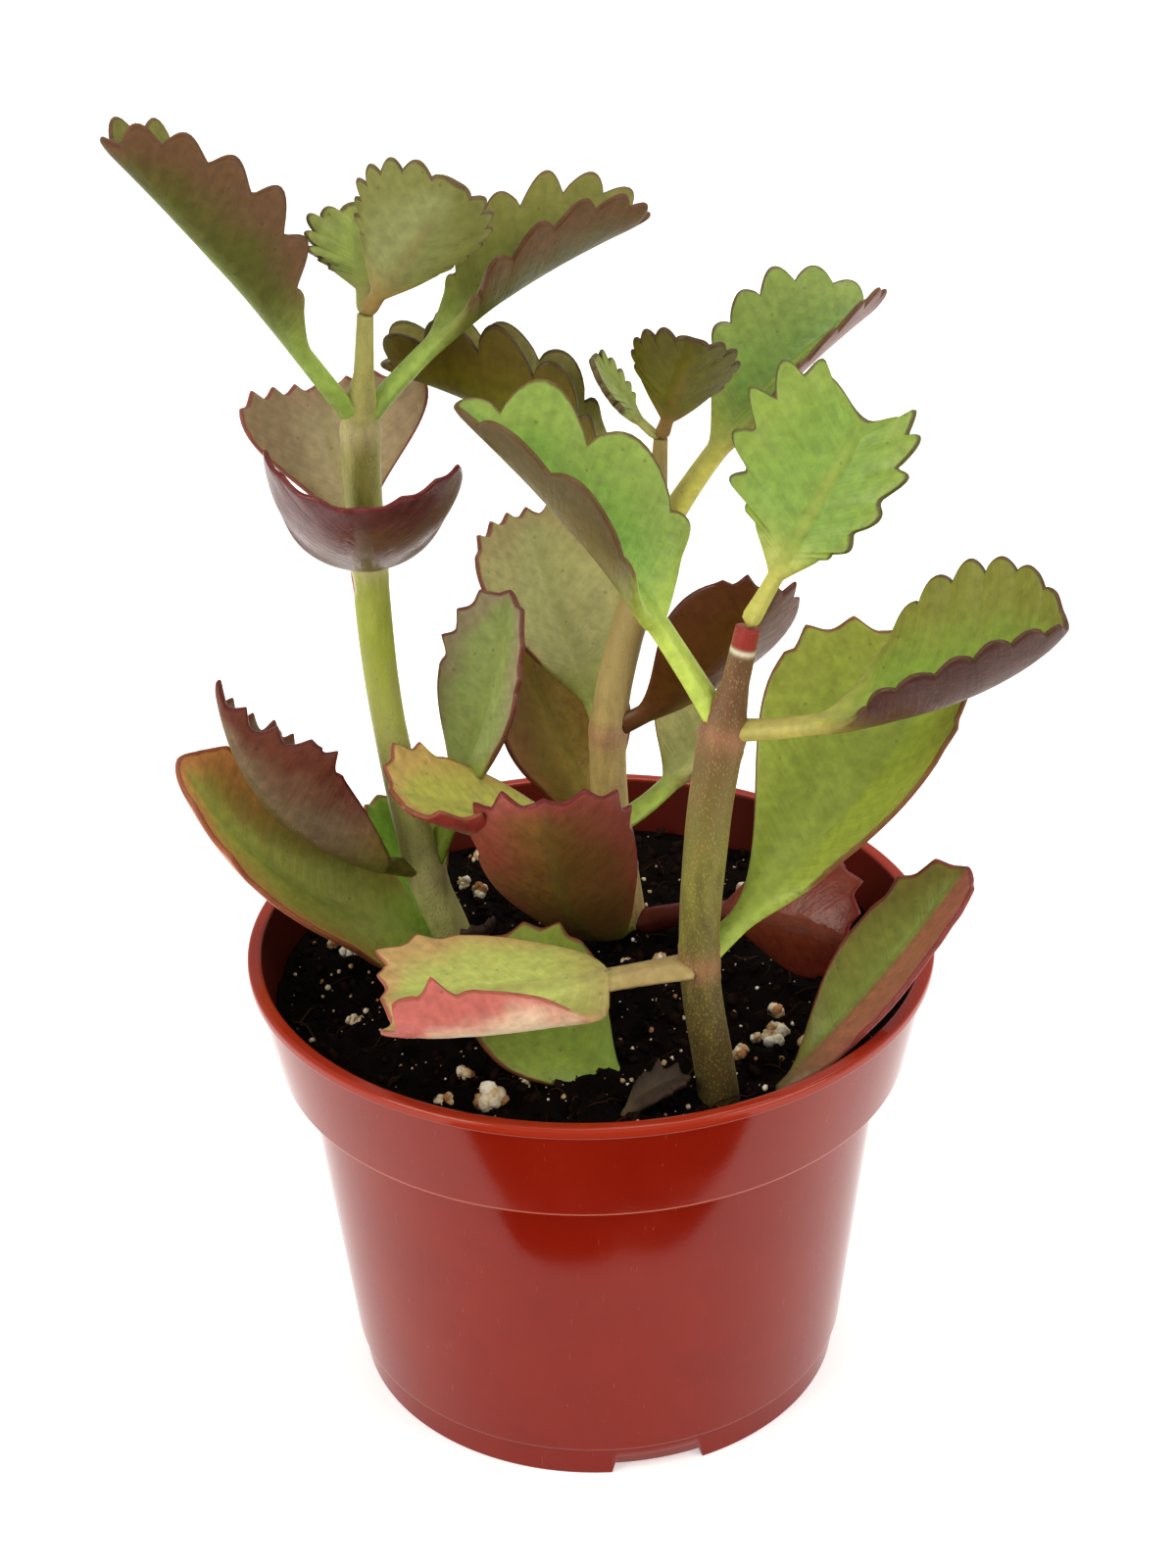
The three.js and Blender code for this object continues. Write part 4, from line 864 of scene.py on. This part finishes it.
def leaf_piece(row, seed):
    """A leaf as two skins on one grid, from its left margin over the midrib to its right margin.

    Thickness falls from the midrib to the margin by a parabola and rounds off there by an arc. The
    upper skin has a groove along the midrib and the lower one a keel, and the blade undulates a
    little towards its margin.
    """
    leaf = {**LEAF, **AGES[row["age"]], **row}
    midrib = midrib_of(leaf)
    length = midrib[2][-1]
    outline = smooth_outline(leaf, length)
    shares = margin_shares(leaf, outline[2])
    grids = []
    for side in (1, -1):
        edge_x, edge_y, foot, wave = lobed_outline(leaf, length, outline, shares, side, seed)
        a = COLUMNS[::-1] if side > 0 else COLUMNS[1:]
        x = foot[:, None] * (1 - a) + edge_x[:, None] * a
        y = side * edge_y[:, None] * a
        rib = np.hypot(edge_x - foot, edge_y)[:, None]
        grids.append([x, y, a + 0 * x, (1 - a) * rib, wave[:, None] * a ** 4])
    x, y, across, rim, crest = (np.concatenate(pair, axis=1) for pair in zip(*grids))
    petiole = leaf["petiole"]
    blade_begins = petiole + 0.3 * (length - petiole)
    way = np.clip(x, 0, length)
    in_blade = smooth(petiole * 0.7, blade_begins, way)
    fading = 1 - smooth(0.55 * length, length, way)
    slim = leaf["stalk"] / LEAF["stalk"]
    thick = np.interp(way, [0, petiole, blade_begins, length],
                      [FOOT_THICK * slim, STALK_THICK * slim, BLADE_THICK, TIP_THICK])
    margin = np.clip(rim / MARGIN_ROUND, 0, 1)
    rounding = quarter_arc(np.clip(way / FOOT_ROUND, 0.001, 1))
    half_thick = (EDGE_THICK + (thick - EDGE_THICK) * (1 - across ** 2)) / 2
    half_thick = half_thick * quarter_arc(margin) * rounding
    y = y * rounding
    turns = 0.16 * x + seed + np.sign(y) * 1.3
    lift = UNDULATION * in_blade * (np.abs(y) / leaf["half"]) ** 2 * np.sin(turns)
    lift = lift + LOBE_RISE * crest * in_blade
    groove = -GROOVE * hump(y, 1.1) * in_blade * fading
    keel = KEEL * hump(y, 1.4) * in_blade * fading
    top = skin_points(leaf, midrib, x, y, lift, half_thick + groove)
    under = skin_points(leaf, midrib, x, y, lift, -half_thick - keel)
    rows, columns = x.shape
    count = rows * columns
    last = np.arange(columns) + count - columns
    cap = np.stack([last[:-1], last[:-1] + count, last[1:] + count, last[1:]], axis=-1)
    faces = np.concatenate([
        grid_faces(rows, columns),
        grid_faces(rows, columns, first=count, flipped=True),
        cap,
    ])
    values = {
        "along": way / length,
        "across": across,
        "rim": rim + 3 * (1 - in_blade),
        "stalk": 1 - in_blade,
        "midrib": hump(y, 0.9) * in_blade * fading,
        "crest": crest * in_blade,
        "left": smooth(-1, 1, y),
        "rib": (shares * outline[2][-1])[:, None] * MM + 0 * x,
    }
    values = {key: np.concatenate([grid.ravel(), grid.ravel()]) for key, grid in values.items()}
    values["upper"] = np.concatenate([(0.5 + 0.5 * margin).ravel(), (0.5 - 0.5 * margin).ravel()])
    points = np.concatenate([top.reshape(-1, 3), under.reshape(-1, 3)])
    make_piece(f"leaf_{row['name']}", points, faces, leaf_skins[row["skin"]], values,
               merge=0.002, nodes=[row["name"]])


# Stems

def catmull_rom(values, t):
    """A smooth curve through evenly numbered values: on each span a cubic whose slope at a point is
    half the way between its neighbours, with the end spans mirrored as in the part's source."""
    padded = np.concatenate([[2 * values[0] - values[1]], values, [2 * values[-1] - values[-2]]])
    i = np.clip(np.floor(t).astype(int), 0, len(values) - 2)
    f = (t - i)[:, None]
    before, here, after, beyond = (padded[i + k] for k in range(4))
    return 0.5 * (
        2 * here
        + (after - before) * f
        + (2 * before - 5 * here + 4 * after - beyond) * f ** 2
        + (3 * here - before - 3 * after + beyond) * f ** 3
    )


def stem_piece(name, stem):
    """A stem as rings about its centreline. Its radius runs straight between the named points, with
    a swelling at each node and a thin scar ring on either side of it. An oval scar is a mark that
    fades with the distance from its centre, and a cut tip has a red end below a papery ring."""
    table = np.array(stem["points"], float)
    spans = len(table) - 1
    t = np.linspace(0, spans, spans * STEM_RINGS + 1)
    centre = catmull_rom(table[:, :3], t)
    along = unit(np.gradient(centre, axis=0))
    way = way_along(centre)
    radius = np.interp(t, np.arange(spans + 1), table[:, 3])
    near = np.zeros_like(way)
    for node, index in stem["nodes"].items():
        if node not in ("base", "bud"):
            gap = way - way[index * STEM_RINGS]
            near = np.maximum(near, hump(gap, 2.2))
            radius = radius + NODE_SWELL * hump(gap, NODE_SPREAD)
            radius = radius + RING_SWELL * hump(np.abs(gap) - RING_AWAY, RING_SPREAD)
    across = unit(np.array([1.0, 0, 0]) - along[:, :1] * along)
    up = np.cross(along, across)
    angle = np.linspace(0, 2 * np.pi, STEM_SEGMENTS, endpoint=False)[None, :, None]
    ripple = 1 + 0.018 * np.sin(3 * angle + 0.12 * way[:, None, None])
    ripple = ripple + 0.012 * np.sin(5 * angle - 0.2 * way[:, None, None])
    ring = across[:, None] * np.cos(angle) + up[:, None] * np.sin(angle)
    points = (centre[:, None] + radius[:, None, None] * ripple * ring).reshape(-1, 3)
    red = np.zeros(len(points))
    pale = np.zeros(len(points))
    if "scar" in stem:
        gap = np.linalg.norm((points - stem["scar"]) / SCAR_SIZE, axis=-1)
        red = 1 - smooth(0.7, 0.85, gap)
        pale = 0.8 * (1 - smooth(0.95, 1.15, gap))
    if stem.get("cut"):
        gap = np.repeat(way[-1] - way, STEM_SEGMENTS)
        red = np.maximum(red, 1 - smooth(CUT_RED, CUT_RED + 0.4, gap))
        pale = np.maximum(pale, 0.9 * hump(gap - CUT_RING_AWAY, CUT_RING_SPREAD))
    in_air = np.clip((centre[:, 2] - SOIL_Z) / (centre[-1, 2] - SOIL_Z), 0, 1)
    values = {
        "along": np.repeat(in_air, STEM_SEGMENTS),
        "near_node": np.repeat(0.75 * near, STEM_SEGMENTS),
        "red_mark": red,
        "pale_mark": pale,
    }
    make_piece(f"fleshy_stem_{name}", points, tube_faces(len(t), STEM_SEGMENTS), stem_skin(name),
               values, nodes=[f"stem_{name}"])


# Pot

def filleted(profile, steps=5):
    """A profile of (radius, height, fillet) corners, each rounded by a quadratic arc that begins and
    ends a fillet's length from it. A point just outside each arc keeps the flat beside it flat."""
    corners = np.array(profile, float)
    points = []
    for i, (r, z, fillet) in enumerate(corners):
        corner = np.array([r, z])
        if fillet == 0:
            points.append(corner[None])
            continue
        back = unit(corners[i - 1, :2] - corner)
        ahead = unit(corners[i + 1, :2] - corner)
        start, end = corner + fillet * back, corner + fillet * ahead
        t = np.linspace(0, 1, steps)[:, None]
        arc = (1 - t) ** 2 * start + 2 * t * (1 - t) * corner + t * t * end
        points += [(start + 0.04 * back)[None], arc, (end + 0.04 * ahead)[None]]
    return np.concatenate(points)


def pot_piece():
    """The pot as its profile turned about Z. A point's height is at least that of the notch at its
    angle, so the foot ring is cut away there."""
    foot = WALL_FOOT_RADIUS - FOOT_INSET
    ring = foot - FOOT_TAPER
    profile = [
        (0.01, FLOOR_UNDER, 0),
        (ring - WALL, FLOOR_UNDER, 0.3),
        (ring - WALL, 0, 0.25),
        (ring, 0, 0.35),
        (foot, FOOT_HEIGHT - 0.1, 0.3),
        (WALL_FOOT_RADIUS, FOOT_HEIGHT + 0.3, 0.5),
        (WALL_TOP_RADIUS, COLLAR_FOOT_Z + COLLAR_BEAD, 0.25),
        (COLLAR_FOOT_RADIUS, COLLAR_FOOT_Z, 0.35),
        (RIM_RADIUS - LIP_OVERHANG, POT_HEIGHT - LIP_HEIGHT, 0.5),
        (RIM_RADIUS, POT_HEIGHT - LIP_HEIGHT + 0.1, 0.35),
        (RIM_RADIUS, POT_HEIGHT, 0.7),
        (RIM_RADIUS - LIP_WIDTH, POT_HEIGHT, 0.6),
        (COLLAR_FOOT_RADIUS - WALL, LEDGE_TOP, 0.6),
        (WALL_TOP_RADIUS - WALL, LEDGE_TOP, 0.5),
        (foot - WALL, FLOOR_TOP, 0.6),
        (0.01, FLOOR_TOP, 0),
    ]
    line = filleted(profile)
    rows = len(line)
    angle = np.linspace(0, 2 * np.pi, POT_SEGMENTS, endpoint=False)
    centres = np.radians(NOTCH_CENTRE_DEG + 360 / NOTCHES * np.arange(NOTCHES))
    away = np.abs((angle[:, None] - centres + np.pi) % (2 * np.pi) - np.pi).min(axis=1)
    notch = NOTCH_HEIGHT * (away < np.radians(NOTCH_SPAN_DEG / 2))
    radius = line[:, 0][:, None]
    height = np.maximum(line[:, 1][:, None], notch)
    points = np.stack([radius * np.cos(angle), radius * np.sin(angle), height], axis=-1)
    # The inner wall, which the plastic darkens as painted shade.
    inner = (line[:, 0] < RIM_RADIUS - LIP_WIDTH + 0.1) & (line[:, 1] > FLOOR_TOP - 0.1)
    inner &= np.arange(rows) > rows / 2
    values = {"shaded_inner_wall": np.repeat(inner * 1.0, POT_SEGMENTS)}
    pot = make_piece("nursery_pot", points.reshape(-1, 3), tube_faces(rows, POT_SEGMENTS),
                     pot_plastic(), values, nodes=["pot"])
    drill_drains(pot)


def drill_drains(pot):
    """Cuts the round drain holes through the floor with one joined cutter, then removes it."""
    edit = bmesh.new()
    for k in range(DRAIN_HOLES):
        angle = 2 * np.pi * k / DRAIN_HOLES
        x, y = DRAIN_RING_RADIUS * np.cos(angle), DRAIN_RING_RADIUS * np.sin(angle)
        bmesh.ops.create_cone(edit, cap_ends=True, segments=32, radius1=DRAIN_RADIUS * MM,
                              radius2=DRAIN_RADIUS * MM, depth=2 * FLOOR_TOP * MM,
                              matrix=Matrix.Translation(Vector((x, y, FLOOR_TOP)) * MM))
    mesh = bpy.data.meshes.new("drain_cutter")
    edit.to_mesh(mesh)
    edit.free()
    cutter = add_object("drain_cutter", mesh)
    cut = pot.modifiers.new("drains", "BOOLEAN")
    cut.operation = "DIFFERENCE"
    cut.object = cutter
    cut.solver = "EXACT"
    bpy.context.view_layer.update()
    drilled = pot.evaluated_get(bpy.context.evaluated_depsgraph_get())
    cut_mesh = bpy.data.meshes.new_from_object(drilled)
    pot.modifiers.clear()
    pot.data = cut_mesh
    bpy.data.objects.remove(cutter)


# Soil

def soil_height(x, y):
    """The soil's swells as in the part's source: a long and a short wave."""
    long = np.sin(x * 0.11 + 1.3) * np.cos(y * 0.13 - 0.4)
    short = np.sin(x * 0.31 + y * 0.23)
    return SOIL_SWELL * (0.6 * long + 0.4 * short)


def clods(x, y):
    """Clods of 2 to 9 mm as a sum of plane waves in seeded directions, higher for longer waves."""
    rng = np.random.default_rng(CLOD_SEED)
    size = rng.uniform(2, 9, CLOD_WAVES)
    turn = rng.uniform(0, np.pi, CLOD_WAVES)
    start = rng.uniform(0, 2 * np.pi, CLOD_WAVES)
    phase = (x[..., None] * np.cos(turn) + y[..., None] * np.sin(turn)) * 2 * np.pi / size + start
    return (np.sin(phase) * size * 0.018).sum(axis=-1)


def inside_radius(z):
    """The pot's inner wall at a height: straight up to the ledge, then from its edge to the lip."""
    wall = np.interp(z, [FLOOR_TOP, LEDGE_TOP],
                     [WALL_FOOT_RADIUS - FOOT_INSET - WALL, WALL_TOP_RADIUS - WALL])
    collar = np.interp(z, [LEDGE_TOP, POT_HEIGHT],
                       [COLLAR_FOOT_RADIUS - WALL, RIM_RADIUS - LIP_WIDTH])
    return np.where(np.asarray(z) > LEDGE_TOP, collar, wall)


def soil_piece():
    """The potting mix: up the pot's inner wall, then over a top of swells and clods to its middle."""
    angle = np.linspace(0, 2 * np.pi, SOIL_SEGMENTS, endpoint=False)
    wall_z = np.array([FLOOR_TOP + 0.1, 15, 30, 45, LEDGE_TOP, LEDGE_TOP + 0.1, 63, 66])[:, None]
    wall_z = wall_z + 0 * angle
    wall_r = inside_radius(wall_z) - 0.05
    reach = float(inside_radius(SOIL_Z)) - 0.05
    radius = reach * np.linspace(1, 0.002, SOIL_RINGS)[:, None] + 0 * angle
    x, y = radius * np.cos(angle), radius * np.sin(angle)
    settled = smooth(0, 6, inside_radius(SOIL_Z) - radius)
    top = SOIL_Z + soil_height(x, y) + (0.35 + 0.65 * settled) * clods(x, y) - 0.5 * (1 - settled)
    points = np.concatenate([
        np.stack([wall_r * np.cos(angle), wall_r * np.sin(angle), wall_z], axis=-1),
        np.stack([x, y, top], axis=-1),
    ])
    rows = len(points)
    values = {"shade": np.full(rows * SOIL_SEGMENTS, 0.25)}
    finish = peat("moist_peat", "#0B0604", "#1E120C", 0.8)
    make_piece("potting_mix", points.reshape(-1, 3), tube_faces(rows, SOIL_SEGMENTS), finish,
               values, nodes=["soil"])


def ball_shape(levels):
    """The points and faces of a ball made from an icosahedron."""
    edit = bmesh.new()
    bmesh.ops.create_icosphere(edit, subdivisions=levels, radius=1)
    points = np.array([vert.co for vert in edit.verts])
    faces = np.array([[vert.index for vert in face.verts] for face in edit.faces])
    edit.free()
    return points, faces


def lumps(name, centres, sizes, stretch, jag, levels, material, seed):
    """Many irregular lumps in one mesh: each a ball stretched by stretch, dented at random by jag,
    turned by a seeded random rotation and put at its centre."""
    rng = np.random.default_rng(seed)
    ball, ball_faces = ball_shape(levels)
    count = len(centres)
    dents = 1 + jag * rng.normal(size=(count, len(ball), 1)).clip(-2, 2)
    axes = unit(rng.normal(size=(count, 3)))
    across = unit(np.cross(axes, rng.normal(size=(count, 3))))
    frames = np.stack([across, np.cross(axes, across), axes], axis=-1)
    shapes = ball[None] * dents * np.array(stretch) * sizes[:, None, None]
    points = np.einsum("nij,nvj->nvi", frames, shapes) + centres[:, None]
    faces = ball_faces[None] + (np.arange(count) * len(ball))[:, None, None]
    values = {"shade": np.repeat(rng.uniform(0, 1, count), len(ball))}
    make_piece(name, points.reshape(-1, 3), faces.reshape(-1, 3), material, values)


def scattered(sizes, seed, sunk):
    """Seeded places on the soil for lumps of these sizes, clear of the wall, with a share of each
    lump sunk in."""
    rng = np.random.default_rng(seed)
    radius = (inside_radius(SOIL_Z) - 1 - sizes) * np.sqrt(rng.uniform(0, 1, len(sizes)))
    angle = rng.uniform(0, 2 * np.pi, len(sizes))
    x, y = radius * np.cos(angle), radius * np.sin(angle)
    z = SOIL_Z + soil_height(x, y) + clods(x, y) + sizes * (0.5 - sunk)
    return np.stack([x, y, z], axis=-1)


def crumbs_piece(dice):
    """Crumbs of peat by the thousand, most of them far smaller than the largest."""
    places, shapes = CRUMB_SEEDS
    sizes = 0.22 + 1.1 * dice.uniform(0, 1, CRUMBS) ** 4
    finish = peat("peat_crumb", "#0D0705", "#2C1B12", 0.75)
    lumps("peat_crumbs", scattered(sizes, places, 0.5), sizes, (1.2, 0.8, 0.6), 0.2, 1, finish,
          shapes)


def fibres_piece():
    """Peat fibres: thin three-sided threads that lie on the soil along seeded arcs."""
    places, shapes = FIBRE_SEEDS
    rng = np.random.default_rng(shapes)
    start = scattered(np.full(FIBRES, 4.0), places, 0.5)
    heading = rng.uniform(0, 2 * np.pi, FIBRES)[:, None]
    heading = heading + np.linspace(0, 1, FIBRE_STEPS) * rng.normal(0, 1.2, FIBRES)[:, None]
    stride = rng.uniform(0.5, 1.5, FIBRES)[:, None]
    x = start[:, :1] + np.cumsum(np.cos(heading) * stride, axis=1)
    y = start[:, 1:2] + np.cumsum(np.sin(heading) * stride, axis=1)
    inward = np.minimum(1, (float(inside_radius(SOIL_Z)) - 1.5) / np.hypot(x, y))
    x, y = x * inward, y * inward
    arch = np.sin(np.linspace(0, np.pi, FIBRE_STEPS)) * rng.uniform(0.2, 1.6, FIBRES)[:, None]
    z = SOIL_Z + soil_height(x, y) + clods(x, y) + arch
    thick = rng.uniform(0.08, 0.24, FIBRES)[:, None, None]
    corner = np.linspace(0, 2 * np.pi, 3, endpoint=False)
    ring_x = -np.sin(heading)[..., None] * np.cos(corner) * thick
    ring_y = np.cos(heading)[..., None] * np.cos(corner) * thick
    points = np.stack([x[..., None] + ring_x, y[..., None] + ring_y,
                       z[..., None] + np.sin(corner) * thick], axis=-1)
    first = (np.arange(FIBRES) * FIBRE_STEPS * 3)[:, None]
    one = grid_faces(FIBRE_STEPS, 3, closed=True, flipped=True)
    faces = (one[None] + first[..., None]).reshape(-1, 4).tolist()
    faces += (first + np.array([[2, 1, 0]])).tolist()
    faces += (first + (FIBRE_STEPS - 1) * 3 + np.array([[0, 1, 2]])).tolist()
    values = {"shade": np.repeat(rng.uniform(0.5, 1, FIBRES), FIBRE_STEPS * 3)}
    finish = peat("peat_fibre", "#170E08", "#4A3220", 0.8)
    make_piece("peat_fibres", points.reshape(-1, 3), faces, finish, values)


def perlite_pieces(dice):
    """Small specks of perlite, then its larger grains: some listed, the rest placed by chance
    as in the part's source, and each one a cluster of seeded round bits, like popcorn."""
    finish = perlite()
    places, shapes = SPECK_SEEDS
    sizes = 0.14 + 0.5 * dice.uniform(0, 1, SPECKS) ** 3
    lumps("perlite_specks", scattered(sizes, places, 0.3), sizes, (1, 0.9, 0.8), 0.16, 1, finish,
          shapes)
    number = np.arange(SEEDED_GRIT)
    turn = 2 * np.pi * chance(number, GRIT_SEED, 0)
    reach = GRIT_FIELD_RADIUS * np.sqrt(chance(number, GRIT_SEED + 1, 0))
    size = GRIT_SMALLEST + chance(number, GRIT_SEED + 2, 0) ** 2
    seeded = np.stack([reach * np.cos(turn), reach * np.sin(turn), size], axis=-1)
    x, y, size = np.concatenate([PLACED_GRIT, seeded]).T
    centres = np.column_stack([x, y, SOIL_Z + soil_height(x, y) + 0.25 * size])
    places, shapes = GRAIN_SEEDS
    rng = np.random.default_rng(places)
    bits_of_each = (len(size), BITS_PER_GRAIN)
    spread = unit(rng.normal(size=(*bits_of_each, 3))) * rng.uniform(0.2, 0.6, (*bits_of_each, 1))
    bits = centres[:, None] + spread * size[:, None, None]
    bit_sizes = size[:, None] * rng.uniform(0.3, 0.55, bits_of_each)
    lumps("perlite_grains", bits.reshape(-1, 3), bit_sizes.ravel(), (1, 0.9, 0.85), 0.1, 2, finish,
          shapes)


# Studio

def add_light(name, place, size, power, colour):
    """A square soft light that faces the plant."""
    data = bpy.data.lights.new(name, "AREA")
    data.size = size
    data.energy = power
    data.color = colour
    light = add_object(name, data)
    light.location = place
    light.rotation_euler = (Vector(LIT_POINT) - Vector(place)).to_track_quat("-Z", "Y").to_euler()


def add_camera():
    """The photograph's camera, placed and turned by the values that were fitted to the pot."""
    down = np.radians(CAMERA_DOWN_DEG)
    roll = np.radians(CAMERA_ROLL_DEG)
    back = np.array([0, -np.cos(down), np.sin(down)])
    level = np.array([1.0, 0, 0])
    up = np.array([0, np.sin(down), np.cos(down)])
    right = level * np.cos(roll) + up * np.sin(roll)
    top = up * np.cos(roll) - level * np.sin(roll)
    place = np.array(CAMERA_TARGET) * MM + back * CAMERA_DISTANCE * MM
    data = bpy.data.cameras.new("photo_camera")
    data.sensor_fit = "VERTICAL"
    data.sensor_height = SENSOR
    data.lens = SENSOR * LENS_PIXELS / PICTURE_PIXELS
    data.clip_start = 0.01
    camera = add_object("photo_camera", data)
    turned = Matrix(np.stack([right, top, back], axis=-1).tolist()).to_4x4()
    camera.matrix_world = Matrix.Translation(Vector(place)) @ turned
    bpy.context.scene.camera = camera


def add_stage(name, corners, material):
    """One flat face that is part of the studio and not of the object."""
    mesh = bpy.data.meshes.new(name)
    mesh.from_pydata(corners, [], [tuple(range(len(corners)))])
    mesh.materials.append(material)
    sheet = add_object(name, mesh)
    return sheet


def add_floor():
    """A lit white acrylic sheet far wider than the view. It glows, so it shows only faint shadows."""
    material, tree, shader = new_material("lit_acrylic")
    feed(tree, shader, {
        "Base Color": linear("#E6E5E3"),
        "Roughness": 0.9,
        "Emission Color": linear("#FFFFFF"),
        "Emission Strength": 0.4,
    })
    material.cycles.emission_sampling = "NONE"
    corners = [(FLOOR_REACH * x, FLOOR_REACH * y, 0) for x, y in ((-1, -1), (1, -1), (1, 1), (-1, 1))]
    add_stage("acrylic_floor", corners, material)


def add_dark_card():
    """A black card just above the floor in front of the pot, as wide as the dark camera end of the
    light tent. It is seen only in reflections, where it makes the dark patch on the collar."""
    material, tree, shader = new_material("black_card")
    feed(tree, shader, {"Base Color": linear("#0A0A0A"), "Roughness": 0.9})
    corners = [(x * MM, y * MM, CARD_HEIGHT * MM) for x, y in CARD_NEAR_EDGE + CARD_FAR_EDGE]
    card = add_stage("black_card", corners, material)
    card.visible_camera = False
    card.visible_diffuse = False
    card.visible_shadow = False


def add_world():
    """An even white room."""
    world = bpy.data.worlds.new("white_room")
    world.use_nodes = True
    sky = world.node_tree.nodes["Background"]
    feed(world.node_tree, sky, {"Color": (1, 1, 1, 1), "Strength": 0.5})
    bpy.context.scene.world = world


# The object

leaf_skins = {name: leaf_skin(name) for name in SKINS}
for number, leaf_row in enumerate(LEAVES):
    leaf_piece(leaf_row, number + 1)
for stem_name, stem_row in STEMS.items():
    stem_piece(stem_name, stem_row)
pot_piece()
soil_piece()
soil_dice = np.random.default_rng(SIZE_SEED)
crumbs_piece(soil_dice)
fibres_piece()
perlite_pieces(soil_dice)

add_floor()
add_dark_card()
add_world()
add_camera()
for light_row in LIGHTS:
    add_light(*light_row)
bpy.context.scene.view_settings.view_transform = "Standard"
bpy.context.scene.view_settings.look = "Medium High Contrast"
